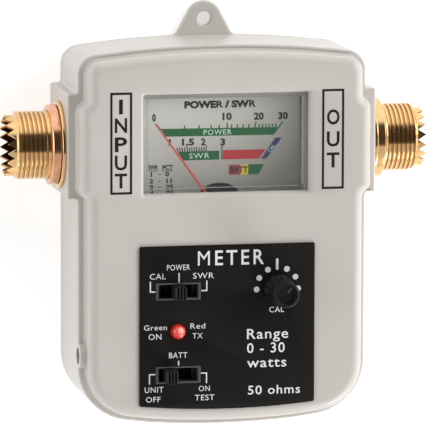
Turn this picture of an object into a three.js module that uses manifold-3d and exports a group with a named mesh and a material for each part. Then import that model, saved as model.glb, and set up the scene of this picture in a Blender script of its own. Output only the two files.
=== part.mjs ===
import * as THREE from 'three';
import { mergeVertices } from 'three/addons/utils/BufferGeometryUtils.js';
import Module from 'manifold-3d';

const wasm = await Module();
wasm.setup();

// Hand-held antenna tester. Millimetres. Inside the inner group x runs to the right, y towards the
// hang tab and z out of the front face, whose plane is z = 0. The outer group puts the origin at the
// middle of the bottom of the bounding box, with the tester lying on its back.

// Clearances and cutters
const gap = 0.3;
const slideGap = 0.15;
const threadGap = 0.15;
const overrun = 1;
const sameSpot = 0.001;
const embed = 0.4;

// Case outline
const sideRoom = 7.3;
const bottomRoom = 5.65;
const caseTop = 27.6;
const caseTopArc = 255;
const caseBottomArc = 198;
const caseTopCorner = 4.7;
const caseBottomCorner = 13;
const caseWall = 2;
const faceThickness = 2.2;
const rimRound = 0.5;
const bossReach = 2.39;
const bossTop = 16.8;
const bossBottom = -7.6;
const bossCorner = 0.6;
const bossFillet = 0.8;

// Raised face, inside a ledge that runs all round
const ledgeDepth = 5.87;
const ledgeSide = 1.65;
const ledgeTop = 1.25;
const ledgeBottom = 1.6;
const ledgeBoss = 2.14;
const faceRound = 2.5;
const faceTopCorner = 3.5;
const faceBottomCorner = 11.4;
const jogHeight = 2.7;
const jogCorner = 2.8;
const jogFillet = 1.5;

// Back cover, hang tab and battery door
const backThickness = 2.75;
const tabHoleRise = 3.8;
const tabHoleRadius = 1.75;
const tabTopRadius = 4.25;
const tabThickness = 2.4;
const tabBaseFillet = 2;
const tabLean = 28;
const doorMargin = 0.5;
const doorBelowMeter = 6.2;
const doorThickness = 1.5;
const doorInset = 0.25;
const tongueWidth = 0.9;
const tongueThickness = 0.6;
const tongueInset = 1.2;
const tongueLength = 23;
const gripCount = 4;
const gripPitch = 2.2;
const gripWidth = 1;
const gripDepth = 0.5;
const gripHalfLength = 8;
const gripInset = 4.2;
const locatorThickness = 1.2;
const locatorHeight = 2.5;
const locatorLength = 9;

// Case screws
const upperScrewSide = 6.35;
const upperScrewInset = 6.8;
const lowerScrewSide = 4.25;
const lowerScrewInset = 9.5;
const upperPostRadius = 3;
const lowerPostRadius = 2.2;
const caseScrewRadius = 1.1;
const caseScrewLength = 9.5;
const caseHeadRadius = 2;
const caseHeadHeight = 1.4;
const casePocketDepth = 1.7;
const driveWidth = 0.5;
const driveDepth = 0.6;

// Control panel and what it carries
const panelHalfWidth = 20.64;
const panelBelowWindow = 12;
const panelBottomInset = 5.7;
const panelSag = 1.1;
const panelThickness = 0.4;
const panelCorner = 0.4;
const switchInset = 9.1;
const modeBelowTop = 10.6;
const powerBelowMode = 19.5;
const switchTravel = 2;
const slotHalfWidth = 4.8;
const slotHalfHeight = 1.75;
const stemHalfWidth = 1.45;
const stemHalfHeight = 1.5;
const stemTop = 4.45;
const stemGrooves = 3;
const stemGrooveWidth = 0.35;
const stemGrooveDepth = 0.5;
const slideHalfWidth = 2.6;
const slideHalfHeight = 2;
const slideThickness = 1.9;
const switchHalfWidth = 6.2;
const switchHalfHeight = 3;
const switchLip = 0.9;
const knobInset = 8.74;
const knobBaseRadius = 3.55;
const knobTipRadius = 3.07;
const knobTop = 10.3;
const knobLift = 0.4;
const knobRimWidth = 0.7;
const knobDish = 0.5;
const knobCrown = 2;
const shaftRadius = 1.5;
const potHalfWidth = 4.8;
const potHalfHeight = 5.2;
const potHeight = 3.7;
const bushRadius = 2.9;
const lampBelowMode = 9.4;
const lampRadius = 1.7;
const lampFlangeRadius = 2.1;
const lampFlangeHeight = 0.8;
const lampLift = 1.5;
const lampDome = 1.7;
const lampLegSpacing = 1.27;
const lampLegHalfWidth = 0.25;

// Main board
const boardDepth = 6.9;
const boardThickness = 1.6;
const boardBottomInset = 5.3;
const boardCutWidth = 5.2;
const boardCutHeight = 11.8;
const boardPostRadius = 2;
const boardScrewInset = 3;
const boardScrewSide = 0.7;
const smallScrewRadius = 0.8;
const smallScrewLength = 4.6;
const smallHeadRadius = 1.6;
const smallHeadHeight = 0.9;

// Jack in the left wall
const jackRise = 17;
const jackDepth = 5.9;
const jackHoleRadius = 2;
const collarRadius = 2.95;
const jackLength = 3.2;
const jackBore = 1.25;
const jackNoseInset = 0.5;
const jackEnd = 0.8;

// Meter window, case and dial
const windowHalfWidth = 19.3;
const windowHalfHeight = 11.4;
const windowY = 5.3;
const windowDepth = 1.3;
const windowPlate = 1.2;
const windowWall = 0.95;
const windowSkirt = 2.6;
const windowBevel = 0.65;
const windowBevelDepth = 1.1;
const windowFrameWall = 1.2;
const meterWall = 1.5;
const meterTopClear = 0.4;
const meterFloor = 1;
const dialDepth = 7;
const dialThickness = 0.4;
const dialLedge = 1.2;
const dialUnder = 0.8;
const dialAbovePivot = 4;
const dialNotch = 6.8;
const earLength = 4.8;
const earHalfHeight = 2.6;
const earThickness = 1.2;

// Meter movement
const pivotX = -0.6;
const pivotDrop = 16.7;
const sweepStart = 126.1;
const sweepAngle = 71;
const needleLength = 26;
const needleDepth = 5.3;
const needleThickness = 0.3;
const needleTipHalfWidth = 0.24;
const needleRootHalfWidth = 0.4;
const needleTail = 4.5;
const needleTailHalfWidth = 0.6;
const hubRadius = 1.7;
const staffRadius = 0.65;
const pivotRadius = 0.25;
const pivotLength = 0.5;
const coreRadius = 3.8;
const coreHeight = 3.9;
const coreDepth = 9;
const coreBarHalfWidth = 0.7;
const coreBarHeight = 1.2;
const coilWire = 0.7;
const coilHalfDepth = 1;
const yokeWall = 1.3;
const yokeHeight = 4.9;
const yokeDepth = 8.5;
const pocketUnder = 1;
const springInner = 1.2;
const springOuter = 3;
const springTurns = 3;
const springStrip = 0.2;
const springHeight = 0.4;
const springDepth = 6.9;
const springPost = 0.6;
const bridgeHalfWidth = 9.2;
const bridgeHalfHeight = 1.4;
const bridgeThickness = 0.8;
const bridgeDepth = 3.8;
const bridgeLeg = 1.2;
const bearingRadius = 1.1;
const bearingHeight = 0.3;

// Battery, its snap and bay
const batteryLength = 46.2;
const batteryWidth = 26.5;
const batteryHeight = 17.5;
const batteryClear = 1.7;
const batteryCorner = 2;
const bayWall = 1.2;
const bayShort = 1.8;
const terminalRadius = 2.9;
const terminalHeight = 2.3;
const terminalSpacing = 12.95;
const snapLength = 20.5;
const snapHeight = 12;
const snapBack = 1.5;

// Through line, coupler board and leads
const lineRadius = 1;
const couplerInset = 1.5;
const couplerAbove = 7;
const couplerBelow = 8;
const couplerThickness = 1.6;
const couplerPostRadius = 2.2;
const couplerScrewSide = 4.5;
const couplerScrewInset = 2.4;
const leadRadius = 0.5;
const leadSides = 6;
const leadSteps = 12;

// Sockets: reaches run along the socket's axis from the boss's end face
const socketDrop = 0.7;
const socketRise = 1.34;
const socketThreadRadius = 7.9375;
const threadReach = 10.36;
const crownRadius = 7.06;
const crownChamfer = 0.7;
const crownHeight = 2;
const crownTeeth = 18;
const crownWall = 0.9;
const mouthDepth = 7.8;
const flangeRadius = 9;
const flangeThickness = 2;
const insulatorRadius = 5.4;
const insulatorLip = 1;
const contactRadius = 2.4;
const contactBore = 2;
const contactBoreDepth = 10;
const contactInset = 5.94;
const tailRadius = 1.2;
const tailInset = 10.34;
const washerRadius = 10.1;
const washerThickness = 0.9;
const nutRadius = 9.3;
const nutThickness = 2;
const nutChamfer = 0.6;

// How finely round things are cut
const fineStep = Math.PI / 12;
const coarseStep = Math.PI / 4;
const fineRadius = 2.6;
const bevelSteps = 3;
const rimSteps = 2;
const roundSides = 24;
const mediumSides = 16;
const smallSides = 10;
const arcPointShares = [0.25, 0.5];
const topPointShares = [0.6, 0.3];

// Finishes
const finish = (color, roughness, metalness = 0) => ({ color, roughness, metalness });
const shellGrey = finish(0xc8c4be, 0.42);
const panelBlack = finish(0x1d1a17, 0.45);
const softBlack = finish(0x141414, 0.5);
const gold = finish(0xe2b064, 0.22, 1);
const steel = finish(0xb9bcc0, 0.3, 1);
const nickel = finish(0xc9c6bd, 0.28, 1);
const copper = finish(0xb4693c, 0.35, 1);
const boardGreen = finish(0x1f5a3a, 0.5);
const dialGrey = finish(0xc2bfb8, 0.6);
const needleRed = finish(0xd9503f, 0.5);
const lampRed = finish(0xd5432e, 0.25);
const clear = finish(0xe6e9e8, 0.08);
const ptfe = finish(0xf0efe9, 0.5);
const ferrite = finish(0x2a2a2c, 0.6);
const batteryBlue = finish(0x2f3b52, 0.45);
const leadRed = finish(0xa8231c, 0.5);
const leadBlack = finish(0x17171a, 0.5);

// Levels worked out from the sizes above
const caseDepth = boardDepth + boardThickness + batteryClear + batteryHeight + gap + doorThickness + doorInset;
const ledgeZ = -ledgeDepth;
const splitZ = backThickness - caseDepth;
const rearZ = -caseDepth;
const faceBack = -faceThickness;
const boardFront = -boardDepth;
const boardRear = boardFront - boardThickness;
const windowFrame = windowDepth + windowSkirt;
const meterRim = -windowFrame - gap;
const meterHalfWidth = windowHalfWidth + meterWall - windowWall + gap;
const meterTop = windowY + windowHalfHeight + meterTopClear;
const pivotY = windowY - pivotDrop;
const coilInner = coreRadius + gap;
const coilOuter = coilInner + coilWire;
const yokeInner = coilOuter + gap;
const yokeOuter = yokeInner + yokeWall;
const meterBottom = pivotY - yokeOuter - gap - meterWall;
const doorTop = meterBottom - doorBelowMeter;
const doorInner = rearZ + doorInset + doorThickness;
const recessFloor = doorInner + slideGap;
const batteryRear = doorInner + gap;
const batteryFront = batteryRear + batteryHeight;
const bayTop = doorTop - bayWall - slideGap;
const bayDepth = bayShort - batteryFront;
const batteryTop = bayTop - gap;
const batteryBottom = batteryTop - batteryWidth;
const bayBottom = batteryBottom - gap;
const snapLengthwise = gap + terminalHeight + snapBack;
const bayHalfWidth = (batteryLength + snapLengthwise) / 2 + gap;
const doorHalfWidth = bayHalfWidth + doorMargin;
const caseHalfWidth = bayHalfWidth + bayWall + sideRoom;
const caseBottom = bayBottom - bayWall - bottomRoom;
const bossHalfWidth = caseHalfWidth + bossReach;
const tabHoleHeight = caseTop + tabHoleRise;
const tongueTop = doorTop - tongueInset;
const tongueBottom = tongueTop - tongueLength;
const gripTop = doorTop - gripInset;
const panelTop = windowY - windowHalfHeight - panelBelowWindow;
const panelBottomCorner = caseBottom + panelBottomInset;
const switchX = switchInset - panelHalfWidth;
const modeY = panelTop - modeBelowTop;
const powerY = modeY - powerBelowMode;
const knobX = panelHalfWidth - knobInset;
const lampY = modeY - lampBelowMode;
const raisedHalfWidth = caseHalfWidth - ledgeSide;
const jackY = caseBottom + jackRise;
const jackInner = -(raisedHalfWidth - caseWall) + gap;
const boardTop = meterBottom - gap;
const boardBottom = caseBottom + boardBottomInset;
const boardHalfWidth = -(jackInner + gap + jackLength + gap);
const boardBottomHalfWidth = boardHalfWidth - boardCutWidth;
const boardSideBottom = boardBottom + boardCutHeight;
const boardUpperX = boardHalfWidth - boardScrewInset;
const boardUpperY = boardTop - boardScrewInset;
const boardLowerX = boardBottomHalfWidth - boardScrewSide;
const boardLowerY = boardBottom + boardScrewInset;
const lampBase = boardFront + lampFlangeHeight + gap;
const dialBottom = pivotY + dialAbovePivot;
const dialFace = -dialDepth;
const dialBack = dialFace - dialThickness;
const meterInnerFloor = dialBack - dialUnder;
const coreFront = -coreDepth;
const coreBack = coreFront - coreHeight;
const coilFront = coreFront + gap + coilWire;
const coilBack = coreBack - gap - coilWire;
const yokeFront = -yokeDepth;
const yokeBack = yokeFront - yokeHeight;
const pocketFloor = Math.min(coilBack, yokeBack) - gap;
const meterBack = pocketFloor - pocketUnder;
const needleFront = -needleDepth;
const bridgeFront = -bridgeDepth;
const bridgeBack = bridgeFront - bridgeThickness;
const socketY = (bossTop + bossBottom) / 2 - socketDrop;
const socketDepth = (ledgeDepth + caseDepth) / 2 - socketRise;
const socketZ = -socketDepth;
const socketThreadEnd = bossHalfWidth + threadReach;
const crownBase = socketThreadEnd + crownChamfer;
const crownTip = crownBase + crownHeight;
const contactBack = bossHalfWidth - contactInset;
const tailEnd = bossHalfWidth - tailInset;
const couplerHalfWidth = tailEnd - couplerInset;
const couplerTop = socketY + couplerAbove;
const couplerBottom = socketY - couplerBelow;
const couplerFront = socketZ - tailRadius - gap;
const couplerBack = couplerFront - couplerThickness;
const middleY = (tabHoleHeight + tabTopRadius + caseBottom) / 2;

// Solids from three.js geometries
function solid(geometry) {
  const bare = geometry.clone();
  bare.deleteAttribute('normal');
  bare.deleteAttribute('uv');
  const merged = mergeVertices(bare);
  const index = merged.index.array;
  const corners = [];
  for (let i = 0; i < index.length; i += 3) {
    const [a, b, c] = index.slice(i, i + 3);
    if (a !== b && b !== c && c !== a) corners.push(a, b, c);
  }
  return new wasm.Manifold(new wasm.Mesh({
    numProp: 3,
    vertProperties: new Float32Array(merged.attributes.position.array),
    triVerts: new Uint32Array(corners),
  }));
}

function block(x, y, z) {
  const geometry = new THREE.BoxGeometry(x[1] - x[0], y[1] - y[0], z[1] - z[0]);
  geometry.translate((x[0] + x[1]) / 2, (y[0] + y[1]) / 2, (z[0] + z[1]) / 2);
  return solid(geometry);
}

function plate(points, z) {
  const geometry = new THREE.ExtrudeGeometry(new THREE.Shape(points), { depth: z[1] - z[0], bevelEnabled: false });
  geometry.translate(0, 0, z[0]);
  return solid(geometry);
}

// A plate whose edges at both ends are rounded by the same radius
function roundedPlate(points, z, radius, steps) {
  const geometry = new THREE.ExtrudeGeometry(new THREE.Shape(points), {
    depth: z[1] - z[0] - 2 * radius,
    bevelThickness: radius,
    bevelSize: radius,
    bevelOffset: -radius,
    bevelSegments: steps,
  });
  geometry.translate(0, 0, z[0] + radius);
  return solid(geometry);
}

function rod(x, y, z, radius, sides = mediumSides) {
  const geometry = new THREE.CylinderGeometry(radius, radius, z[1] - z[0], sides);
  geometry.rotateX(Math.PI / 2);
  geometry.translate(x, y, (z[0] + z[1]) / 2);
  return solid(geometry);
}

function rodAlongX(x, y, z, radius, sides = mediumSides) {
  const geometry = new THREE.CylinderGeometry(radius, radius, x[1] - x[0], sides);
  geometry.rotateZ(Math.PI / 2);
  geometry.translate((x[0] + x[1]) / 2, y, z);
  return solid(geometry);
}

// A profile of [radius, height] points, turned round the z axis
function turned(profile, sides) {
  const geometry = new THREE.LatheGeometry(profile.map(([r, h]) => new THREE.Vector2(r, h)), sides);
  geometry.rotateX(Math.PI / 2);
  return solid(geometry);
}

const mirrored = (values) => [-1, 1].flatMap((side) => values.map((value) => ({ side, value })));

// Outlines: corners are [x, y, radius], anticlockwise
function inward(corners, inset) {
  const count = corners.length;
  const lines = corners.map(([x, y], i) => {
    const [nextX, nextY] = corners[(i + 1) % count];
    const length = Math.hypot(nextX - x, nextY - y);
    const along = [(nextX - x) / length, (nextY - y) / length];
    return { from: [x - along[1] * inset, y + along[0] * inset], along };
  });
  return corners.map(([, , radius], i) => {
    const before = lines[(i + count - 1) % count];
    const after = lines[i];
    const cross = before.along[0] * after.along[1] - before.along[1] * after.along[0];
    const dx = after.from[0] - before.from[0];
    const dy = after.from[1] - before.from[1];
    const reach = (dx * after.along[1] - dy * after.along[0]) / cross;
    const signed = radius > 0 ? Math.max(0, radius - Math.sign(cross) * inset) : 0;
    return [before.from[0] + before.along[0] * reach, before.from[1] + before.along[1] * reach, signed];
  });
}

function outline(corners, inset = 0) {
  const list = inset ? inward(corners, inset) : corners;
  const count = list.length;
  const points = [];
  list.forEach(([x, y, radius], i) => {
    if (radius === 0) {
      points.push(new THREE.Vector2(x, y));
      return;
    }
    const [fromX, fromY] = list[(i + count - 1) % count];
    const [toX, toY] = list[(i + 1) % count];
    const arrive = new THREE.Vector2(x - fromX, y - fromY).normalize();
    const leave = new THREE.Vector2(toX - x, toY - y).normalize();
    const turn = Math.atan2(arrive.cross(leave), arrive.dot(leave));
    const reach = radius * Math.tan(Math.abs(turn) / 2);
    const side = Math.sign(turn);
    const centreX = x - arrive.x * reach - side * arrive.y * radius;
    const centreY = y - arrive.y * reach + side * arrive.x * radius;
    const start = Math.atan2(-side * arrive.x, side * arrive.y);
    const steps = Math.ceil(Math.abs(turn) / (radius > fineRadius ? fineStep : coarseStep));
    for (let k = 0; k <= steps; k += 1) {
      const angle = start + (turn * k) / steps;
      points.push(new THREE.Vector2(centreX + radius * Math.cos(angle), centreY + radius * Math.sin(angle)));
    }
  });
  return points.filter((point, i) => point.distanceTo(points[(i + 1) % points.length]) > sameSpot);
}

const bothSides = (right, bottom, top) => [
  [0, bottom, 0],
  ...right,
  [0, top, 0],
  ...right.slice().reverse().map(([x, y, radius]) => [-x, y, radius]),
];

const sag = (radius, x) => radius - Math.sqrt(radius * radius - x * x);

const caseCorners = bothSides([
  ...arcPointShares.map((share) => {
    const x = share * caseHalfWidth;
    return [x, caseBottom + sag(caseBottomArc, x), 0];
  }),
  [caseHalfWidth, caseBottom + sag(caseBottomArc, caseHalfWidth), caseBottomCorner],
  [caseHalfWidth, bossBottom, bossFillet],
  [bossHalfWidth, bossBottom, bossCorner],
  [bossHalfWidth, bossTop, bossCorner],
  [caseHalfWidth, bossTop, bossFillet],
  [caseHalfWidth, caseTop - sag(caseTopArc, caseHalfWidth), caseTopCorner],
  ...topPointShares.map((share) => {
    const x = share * caseHalfWidth;
    return [x, caseTop - sag(caseTopArc, x), 0];
  }),
], caseBottom, caseTop);

const raisedBossHalfWidth = bossHalfWidth - ledgeBoss;
const raisedTop = caseTop - ledgeTop;
const raisedBottom = caseBottom + ledgeBottom;
const raisedCorners = bothSides([
  ...arcPointShares.map((share) => {
    const x = share * raisedHalfWidth;
    return [x, raisedBottom + sag(caseBottomArc, x), 0];
  }),
  [raisedHalfWidth, raisedBottom + sag(caseBottomArc, raisedHalfWidth), faceBottomCorner],
  [raisedHalfWidth, bossBottom, jogFillet],
  [raisedBossHalfWidth, bossBottom + jogHeight, jogCorner],
  [raisedBossHalfWidth, bossTop - jogHeight, jogCorner],
  [raisedHalfWidth, bossTop, jogFillet],
  [raisedHalfWidth, raisedTop - sag(caseTopArc, raisedHalfWidth), faceTopCorner],
  ...topPointShares.map((share) => {
    const x = share * raisedHalfWidth;
    return [x, raisedTop - sag(caseTopArc, x), 0];
  }),
], raisedBottom, raisedTop);

// Places of the screws
const caseScrews = [
  ...mirrored([[caseHalfWidth - upperScrewSide, caseTop - upperScrewInset, upperPostRadius]]),
  ...mirrored([[caseHalfWidth - lowerScrewSide, caseBottom + lowerScrewInset, lowerPostRadius]]),
].map(({ side, value: [x, y, radius] }) => ({ x: side * x, y, radius }));

const boardScrews = [
  ...mirrored([[boardUpperX, boardUpperY]]),
  ...mirrored([[boardLowerX, boardLowerY]]),
].map(({ side, value: [x, y] }) => ({ x: side * x, y }));

const couplerScrews = [
  { x: couplerHalfWidth - couplerScrewSide, y: couplerBottom + couplerScrewInset },
  { x: couplerScrewSide - couplerHalfWidth, y: couplerTop - couplerScrewInset },
];

const earX = meterHalfWidth + earLength / 2;
const meterScrews = [-1, 1].map((side) => ({ x: side * earX, y: windowY }));

const switches = [
  { name: 'mode', x: switchX, y: modeY, rest: 0 },
  { name: 'power', x: switchX, y: powerY, rest: -switchTravel },
];

function windowCutter() {
  const halfWidth = windowHalfWidth + slideGap;
  const halfHeight = windowHalfHeight + slideGap;
  const y = [windowY - halfHeight, windowY + halfHeight];
  const through = block([-halfWidth, halfWidth], y, [-windowFrame - overrun, overrun]);
  const corner = new THREE.Shape([
    new THREE.Vector2(-halfWidth, y[0]),
    new THREE.Vector2(halfWidth, y[0]),
    new THREE.Vector2(halfWidth, y[1]),
    new THREE.Vector2(-halfWidth, y[1]),
  ]);
  const bevel = new THREE.ExtrudeGeometry(corner, {
    depth: overrun,
    bevelThickness: windowBevelDepth,
    bevelSize: windowBevel,
    bevelSegments: 1,
  });
  return through.add(solid(bevel));
}

function caseFront() {
  const shell = roundedPlate(outline(caseCorners), [splitZ - rimRound - overrun, ledgeZ], rimRound, rimSteps)
    .subtract(block([-2 * bossHalfWidth, 2 * bossHalfWidth], [2 * caseBottom, 2 * caseTop], [rearZ - overrun, splitZ]));
  const raised = roundedPlate(outline(raisedCorners), [ledgeZ - caseWall - 2 * faceRound, 0], faceRound, bevelSteps);
  const collarEnds = [-caseHalfWidth, -(raisedHalfWidth - caseWall)];
  const collar = rodAlongX(collarEnds, jackY, -jackDepth, collarRadius, mediumSides);
  const hollow = plate(outline(caseCorners, caseWall), [splitZ - overrun, ledgeZ - caseWall])
    .add(plate(outline(raisedCorners, caseWall), [ledgeZ - caseWall - overrun, faceBack]));
  let front = shell.add(raised).subtract(hollow).add(collar);

  const frameHalfWidth = windowHalfWidth + slideGap + windowFrameWall;
  const frameHalfHeight = windowHalfHeight + slideGap + windowFrameWall;
  const frameY = [windowY - frameHalfHeight, windowY + frameHalfHeight];
  front = front.add(block([-frameHalfWidth, frameHalfWidth], frameY, [-windowFrame, faceBack + embed]));
  for (const { x, y, radius } of caseScrews) {
    front = front.add(rod(x, y, [splitZ, faceBack + embed], radius));
  }
  for (const { x, y } of boardScrews) {
    front = front.add(rod(x, y, [boardFront, faceBack + embed], boardPostRadius, smallSides));
  }
  for (const { x, y } of meterScrews) {
    front = front.add(rod(x, y, [meterRim, faceBack + embed], boardPostRadius, smallSides));
  }

  front = front.subtract(windowCutter());
  for (const { x, y } of caseScrews) {
    const bore = [splitZ - overrun, splitZ + caseScrewLength];
    front = front.subtract(rod(x, y, bore, caseScrewRadius + threadGap, smallSides));
  }
  for (const { x, y } of boardScrews) {
    const bore = [boardFront - overrun, boardRear + smallScrewLength + gap];
    front = front.subtract(rod(x, y, bore, smallScrewRadius + threadGap, smallSides));
  }
  for (const { x, y } of meterScrews) {
    const bore = [meterRim - overrun, meterRim - earThickness + smallScrewLength + gap];
    front = front.subtract(rod(x, y, bore, smallScrewRadius + threadGap, smallSides));
  }
  for (const { x, y } of switches) {
    const halfHeight = slotHalfHeight;
    const slot = block([x - slotHalfWidth, x + slotHalfWidth], [y - halfHeight, y + halfHeight], [-windowFrame, overrun]);
    front = front.subtract(slot);
  }
  front = front.subtract(rod(knobX, modeY, [-windowFrame, overrun], bushRadius + gap));
  front = front.subtract(rod(switchX, lampY, [-windowFrame, overrun], lampRadius + slideGap));
  front = front.subtract(rodAlongX([-bossHalfWidth, jackInner], jackY, -jackDepth, jackHoleRadius));
  for (const side of [-1, 1]) {
    const ends = [side * (bossHalfWidth - caseWall - overrun), side * (bossHalfWidth + overrun)].sort((a, b) => a - b);
    front = front.subtract(rodAlongX(ends, socketY, socketZ, socketThreadRadius + gap, roundSides));
  }
  return front;
}

// The hang tab: a round top round its hole, flanks that lean outwards, and hollow fillets down to the case
function tabOutline() {
  const lean = (tabLean * Math.PI) / 180;
  const flankAt = (y) => (tabTopRadius - (y - tabHoleHeight) * Math.sin(lean)) / Math.cos(lean);
  const baseHalfWidth = flankAt(caseTop) + tabBaseFillet;
  const base = caseTop - sag(caseTopArc, baseHalfWidth);
  const top = tabHoleHeight + tabTopRadius;
  return outline([
    [baseHalfWidth, base - caseWall, 0],
    [baseHalfWidth, base, 0],
    [flankAt(base), base, tabBaseFillet],
    [flankAt(top), top, tabTopRadius],
    [-flankAt(top), top, tabTopRadius],
    [-flankAt(base), base, tabBaseFillet],
    [-baseHalfWidth, base, 0],
    [-baseHalfWidth, base - caseWall, 0],
  ]);
}

function caseBack() {
  const sheet = roundedPlate(outline(caseCorners), [rearZ, splitZ + rimRound + overrun], rimRound, rimSteps);
  const tab = roundedPlate(tabOutline(), [rearZ, rearZ + tabThickness], rimRound, rimSteps);
  const above = block([-2 * bossHalfWidth, 2 * bossHalfWidth], [2 * caseBottom, 2 * caseTop], [splitZ, splitZ + caseDepth]);
  let back = sheet.subtract(above).add(tab);

  const bayOuter = bayHalfWidth + bayWall;
  back = back.add(block([-bayOuter, bayOuter], [bayBottom - bayWall, bayTop + bayWall], [splitZ - embed, -bayDepth]));
  for (const { x, y } of couplerScrews) {
    back = back.add(rod(x, y, [splitZ - embed, couplerBack], couplerPostRadius, smallSides));
  }
  const locatorZ = [splitZ - embed, splitZ + locatorHeight];
  const locatorX = caseHalfWidth - caseWall - gap;
  const locatorY = (bossBottom + boardUpperY) / 2;
  for (const side of [-1, 1]) {
    const x = [side * locatorX, side * (locatorX - locatorThickness)].sort((a, b) => a - b);
    back = back.add(block(x, [locatorY - locatorLength / 2, locatorY + locatorLength / 2], locatorZ));
  }
  const locatorTop = caseTop - sag(caseTopArc, locatorLength) - caseWall - gap;
  back = back.add(block([-locatorLength, locatorLength], [locatorTop - locatorThickness, locatorTop], locatorZ));

  back = back.subtract(block([-bayHalfWidth, bayHalfWidth], [bayBottom, bayTop], [rearZ - overrun, overrun - bayDepth]));
  const recess = doorHalfWidth + slideGap;
  const doorEnd = [caseBottom - overrun, doorTop + slideGap];
  back = back.subtract(block([-recess, recess], doorEnd, [rearZ - overrun, recessFloor]));
  const groove = doorHalfWidth + tongueWidth + slideGap;
  const grooveEnd = [caseBottom - overrun, tongueTop + slideGap];
  const grooveZ = [doorInner - tongueThickness - slideGap, recessFloor];
  back = back.subtract(block([-groove, groove], grooveEnd, grooveZ));
  for (const { x, y } of caseScrews) {
    back = back.subtract(rod(x, y, [rearZ - overrun, rearZ + casePocketDepth], caseHeadRadius + slideGap));
    back = back.subtract(rod(x, y, [rearZ, splitZ + overrun], caseScrewRadius + threadGap, smallSides));
  }
  for (const { x, y } of couplerScrews) {
    const bore = [couplerFront - smallScrewLength - gap, couplerBack + overrun];
    back = back.subtract(rod(x, y, bore, smallScrewRadius + threadGap, smallSides));
  }
  return back.subtract(rod(0, tabHoleHeight, [rearZ - overrun, splitZ + overrun], tabHoleRadius));
}

function batteryDoor() {
  const outer = rearZ + doorInset;
  const lid = block([-doorHalfWidth, doorHalfWidth], [caseBottom - overrun, doorTop], [outer, doorInner]);
  const tongue = doorHalfWidth + tongueWidth;
  const tongues = block([-tongue, tongue], [tongueBottom, tongueTop], [doorInner - tongueThickness, doorInner]);
  let door = lid.add(tongues).intersect(plate(outline(caseCorners), [outer - overrun, doorInner + overrun]));
  for (let i = 0; i < gripCount; i += 1) {
    const y = gripTop - i * gripPitch;
    const z = [outer - overrun, outer + gripDepth];
    door = door.subtract(block([-gripHalfLength, gripHalfLength], [y - gripWidth, y], z));
  }
  return door;
}

// A pan-head screw with a cross recess. It points along +z from the seat of its head
function screw(radius, length, headRadius, headHeight) {
  const drive = headRadius - driveWidth;
  const recess = [-headHeight - overrun, driveDepth - headHeight];
  const arms = block([-drive, drive], [-driveWidth / 2, driveWidth / 2], recess)
    .add(block([-driveWidth / 2, driveWidth / 2], [-drive, drive], recess));
  return turned([
    [0, -headHeight],
    [headRadius - driveWidth / 2, -headHeight],
    [headRadius, 0],
    [radius, 0],
    [radius, length - radius],
    [0, length],
  ], smallSides).subtract(arms);
}

function controlPanel() {
  const corner = panelBottomCorner;
  const lower = arcPointShares.map((share) => {
    const x = share * panelHalfWidth;
    return [x, corner - panelSag * (1 - share * share), 0];
  });
  const right = [...lower, [panelHalfWidth, corner, panelCorner], [panelHalfWidth, panelTop, panelCorner]];
  let panel = plate(outline(bothSides(right, corner - panelSag, panelTop).filter(([x, y]) => x || y < panelTop)),
    [0, panelThickness]);
  for (const { x, y } of switches) {
    const slot = [y - slotHalfHeight, y + slotHalfHeight];
    panel = panel.subtract(block([x - slotHalfWidth, x + slotHalfWidth], slot, [-overrun, overrun]));
  }
  panel = panel.subtract(rod(knobX, modeY, [-overrun, overrun], shaftRadius + gap));
  return panel.subtract(rod(switchX, lampY, [-overrun, overrun], lampRadius + slideGap));
}

function meterWindow() {
  const z = [-windowFrame, -windowDepth];
  const y = [windowY - windowHalfHeight, windowY + windowHalfHeight];
  const inner = [y[0] + windowWall, y[1] - windowWall];
  const innerHalfWidth = windowHalfWidth - windowWall;
  return block([-windowHalfWidth, windowHalfWidth], y, z)
    .subtract(block([-innerHalfWidth, innerHalfWidth], inner, [z[0] - overrun, z[1] - windowPlate]));
}

function meterCase() {
  const innerHalfWidth = meterHalfWidth - meterWall;
  const movementTop = pivotY + yokeOuter + gap + meterWall;
  let tray = block([-meterHalfWidth, meterHalfWidth], [meterBottom, meterTop], [meterInnerFloor - meterFloor, meterRim])
    .add(block([pivotX - yokeOuter - gap - meterWall, pivotX + yokeOuter + gap + meterWall],
      [meterBottom, movementTop], [meterBack, meterInnerFloor]));
  for (const { x, y } of meterScrews) {
    const reach = [x - earLength / 2 - embed, x + earLength / 2 + embed];
    const ear = block(reach, [y - earHalfHeight, y + earHalfHeight], [meterRim - earThickness, meterRim]);
    tray = tray.add(ear);
  }
  const inner = [meterBottom + meterWall, meterTop - meterWall];
  tray = tray.subtract(block([-innerHalfWidth, innerHalfWidth], inner, [dialBack, overrun]));
  const under = innerHalfWidth - dialLedge;
  const underY = [inner[0], inner[1] - dialLedge];
  tray = tray.subtract(block([-under, under], underY, [meterInnerFloor, overrun]));
  tray = tray.subtract(rod(pivotX, pivotY, [yokeBack, overrun], yokeOuter + gap, roundSides));
  tray = tray.subtract(rod(pivotX, pivotY, [pocketFloor, overrun], yokeInner + gap, roundSides));
  const bearing = pivotRadius + threadGap;
  tray = tray.subtract(rod(pivotX, pivotY, [pocketFloor - pivotLength - threadGap, overrun], bearing, smallSides));
  for (const { x, y } of meterScrews) {
    tray = tray.subtract(rod(x, y, [meterBack, overrun], smallScrewRadius + threadGap, smallSides));
  }
  return tray;
}

function dialPlate() {
  const halfWidth = meterHalfWidth - meterWall - gap;
  const top = meterTop - meterWall - gap;
  return block([-halfWidth, halfWidth], [dialBottom, top], [dialBack, dialFace])
    .subtract(rod(pivotX, pivotY, [dialBack - overrun, dialFace + overrun], dialNotch, roundSides));
}

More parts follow.
